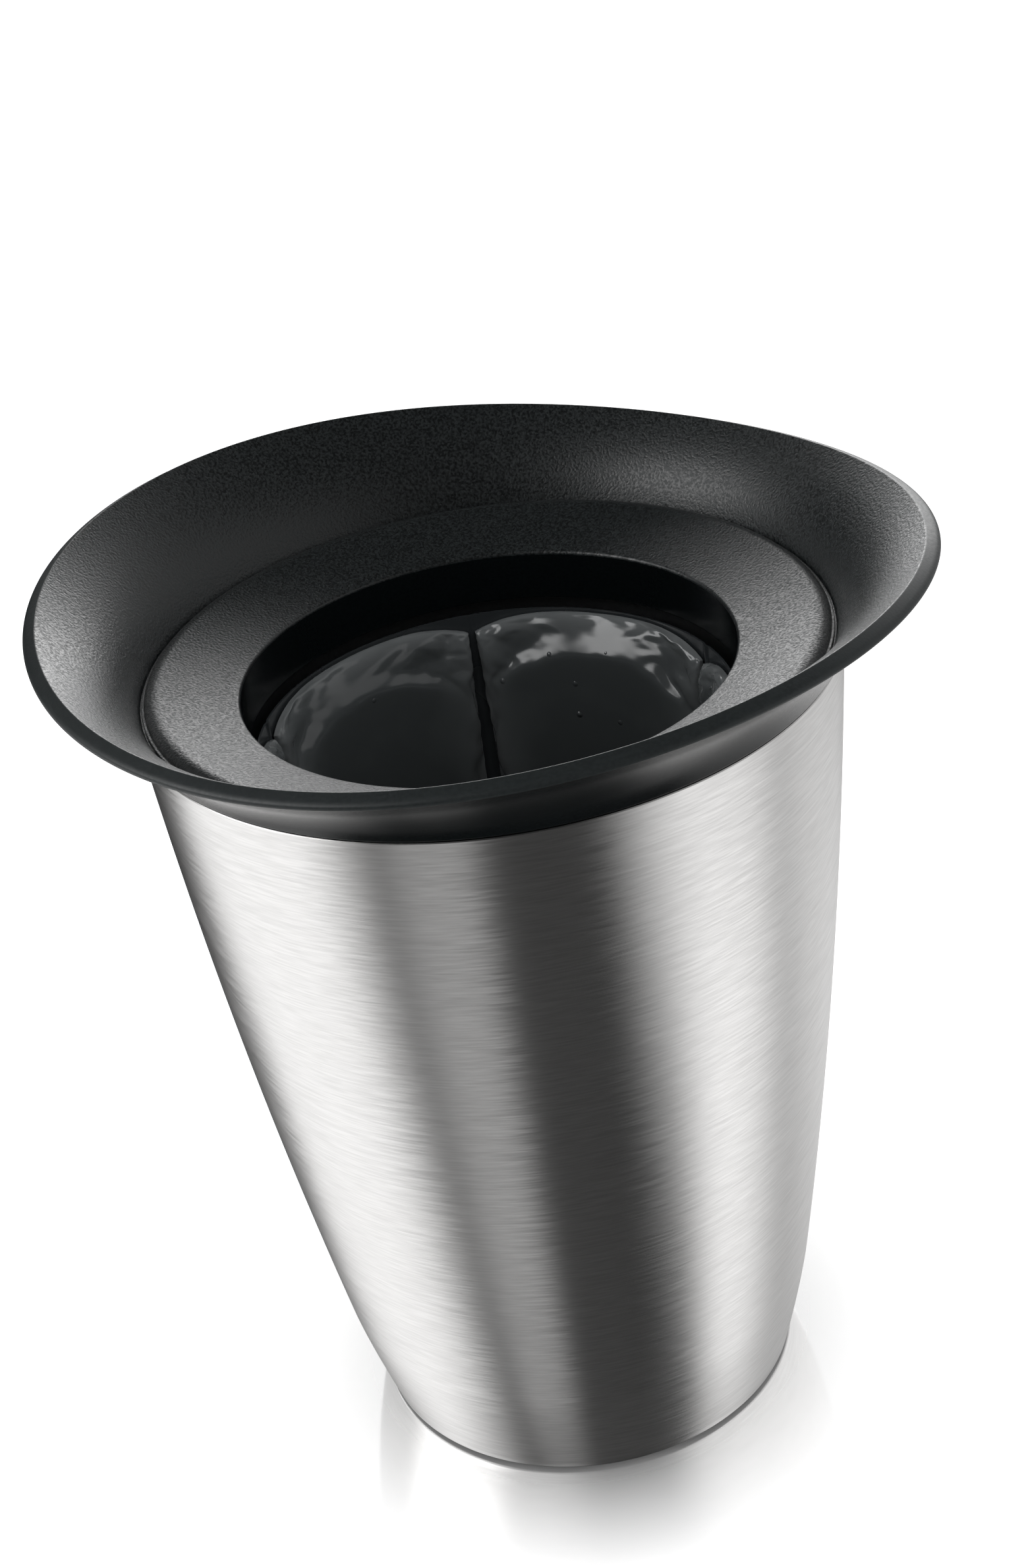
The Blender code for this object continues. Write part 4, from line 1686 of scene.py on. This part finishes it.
    def build_table(self) -> bpy.types.Object:
        """A wide white disc that mirrors what stands on it, less and less away from the foot.

        It is white to the eye by its own glow, and its matt part keeps a faint shadow.

        Returns:
            The table.
        """
        material, tree = self.blank("acrylic, white, polished")
        seen = add(tree, "ShaderNodeLightPath", {}).outputs["Is Camera Ray"]
        glow = add(tree, "ShaderNodeMath", {0: seen, 1: self.table_glow}, operation="MULTIPLY").outputs[0]
        light = add(tree, "ShaderNodeEmission", {"Strength": glow}).outputs[0]
        matt = add(tree, "ShaderNodeBsdfDiffuse", {"Color": linear(self.table_tint)}).outputs[0]
        white = add(tree, "ShaderNodeAddShader", {0: light, 1: matt}).outputs[0]
        gloss = add(tree, "ShaderNodeBsdfGlossy", {"Roughness": self.table_roughness}).outputs[0]
        share = self.fall_off(tree, self.mirror_reach, (self.mirror_share, 0.0))
        both = add(tree, "ShaderNodeMixShader", {0: share, 1: white, 2: gloss}).outputs[0]
        add(tree, "ShaderNodeOutputMaterial", {"Surface": both})
        table = self.put("table", self.disc(self.table_r, 0.0), material)
        table.visible_glossy = False
        return table

    def build_shade(self) -> None:
        """The dark under the cooler, as a black disc just below the table that gloss alone sees."""
        material, tree = self.blank("table, in shadow")
        dark = add(tree, "ShaderNodeBsdfDiffuse", {"Color": linear(self.shade_tint)}).outputs[0]
        through = add(tree, "ShaderNodeBsdfTransparent", {}).outputs[0]
        share = self.fall_off(tree, self.shade_r, WHOLE, interpolation_type="SMOOTHSTEP")
        both = add(tree, "ShaderNodeMixShader", {0: share, 1: dark, 2: through}).outputs[0]
        add(tree, "ShaderNodeOutputMaterial", {"Surface": both})
        disc = self.disc(self.shade_r[1], -self.shade_depth)
        self.leave_to_gloss(self.put("shade", disc, material))

    def build_world(self) -> None:
        """An even white light all round."""
        world = bpy.data.worlds.new("studio")
        world.use_nodes = True
        tree = world.node_tree
        feed(tree, tree.nodes["Background"], {"Color": linear(self.sky_tint), "Strength": self.ambient})
        bpy.context.scene.world = world

    def build(self, pieces: list[Piece]) -> None:
        """Set the stage and the light round the cooler's pieces, and the plain view transform.

        Args:
            pieces: The pieces that the tent lights.
        """
        table = self.build_table()
        self.build_shade()
        self.build_dome("light_tent", self.tent_r, pieces, True)
        self.build_dome("backdrop", self.backdrop_r, [table], False)
        self.build_world()
        bpy.context.scene.view_settings.view_transform = "Standard"


def main() -> None:
    """Build and dress the cooler's assemblies in order, and set the studio round them."""
    logging.basicConfig(level=logging.INFO, format="%(name)s %(message)s")
    view = Viewpoint()
    view.build()
    shell = SteelShell()
    base = Base()
    pieces: list[Piece] = []
    for assembly in (shell, Collar(shell), Well(base), base, NeckRing(), Sleeve()):
        pieces += assembly.build()
    for piece in pieces:
        mesh = piece.data
        LOG.info("%s: %d faces, %s", piece.name, len(mesh.polygons), mesh.materials[0].name)
    Studio(view).build(pieces)


if __name__ == "__main__":
    main()
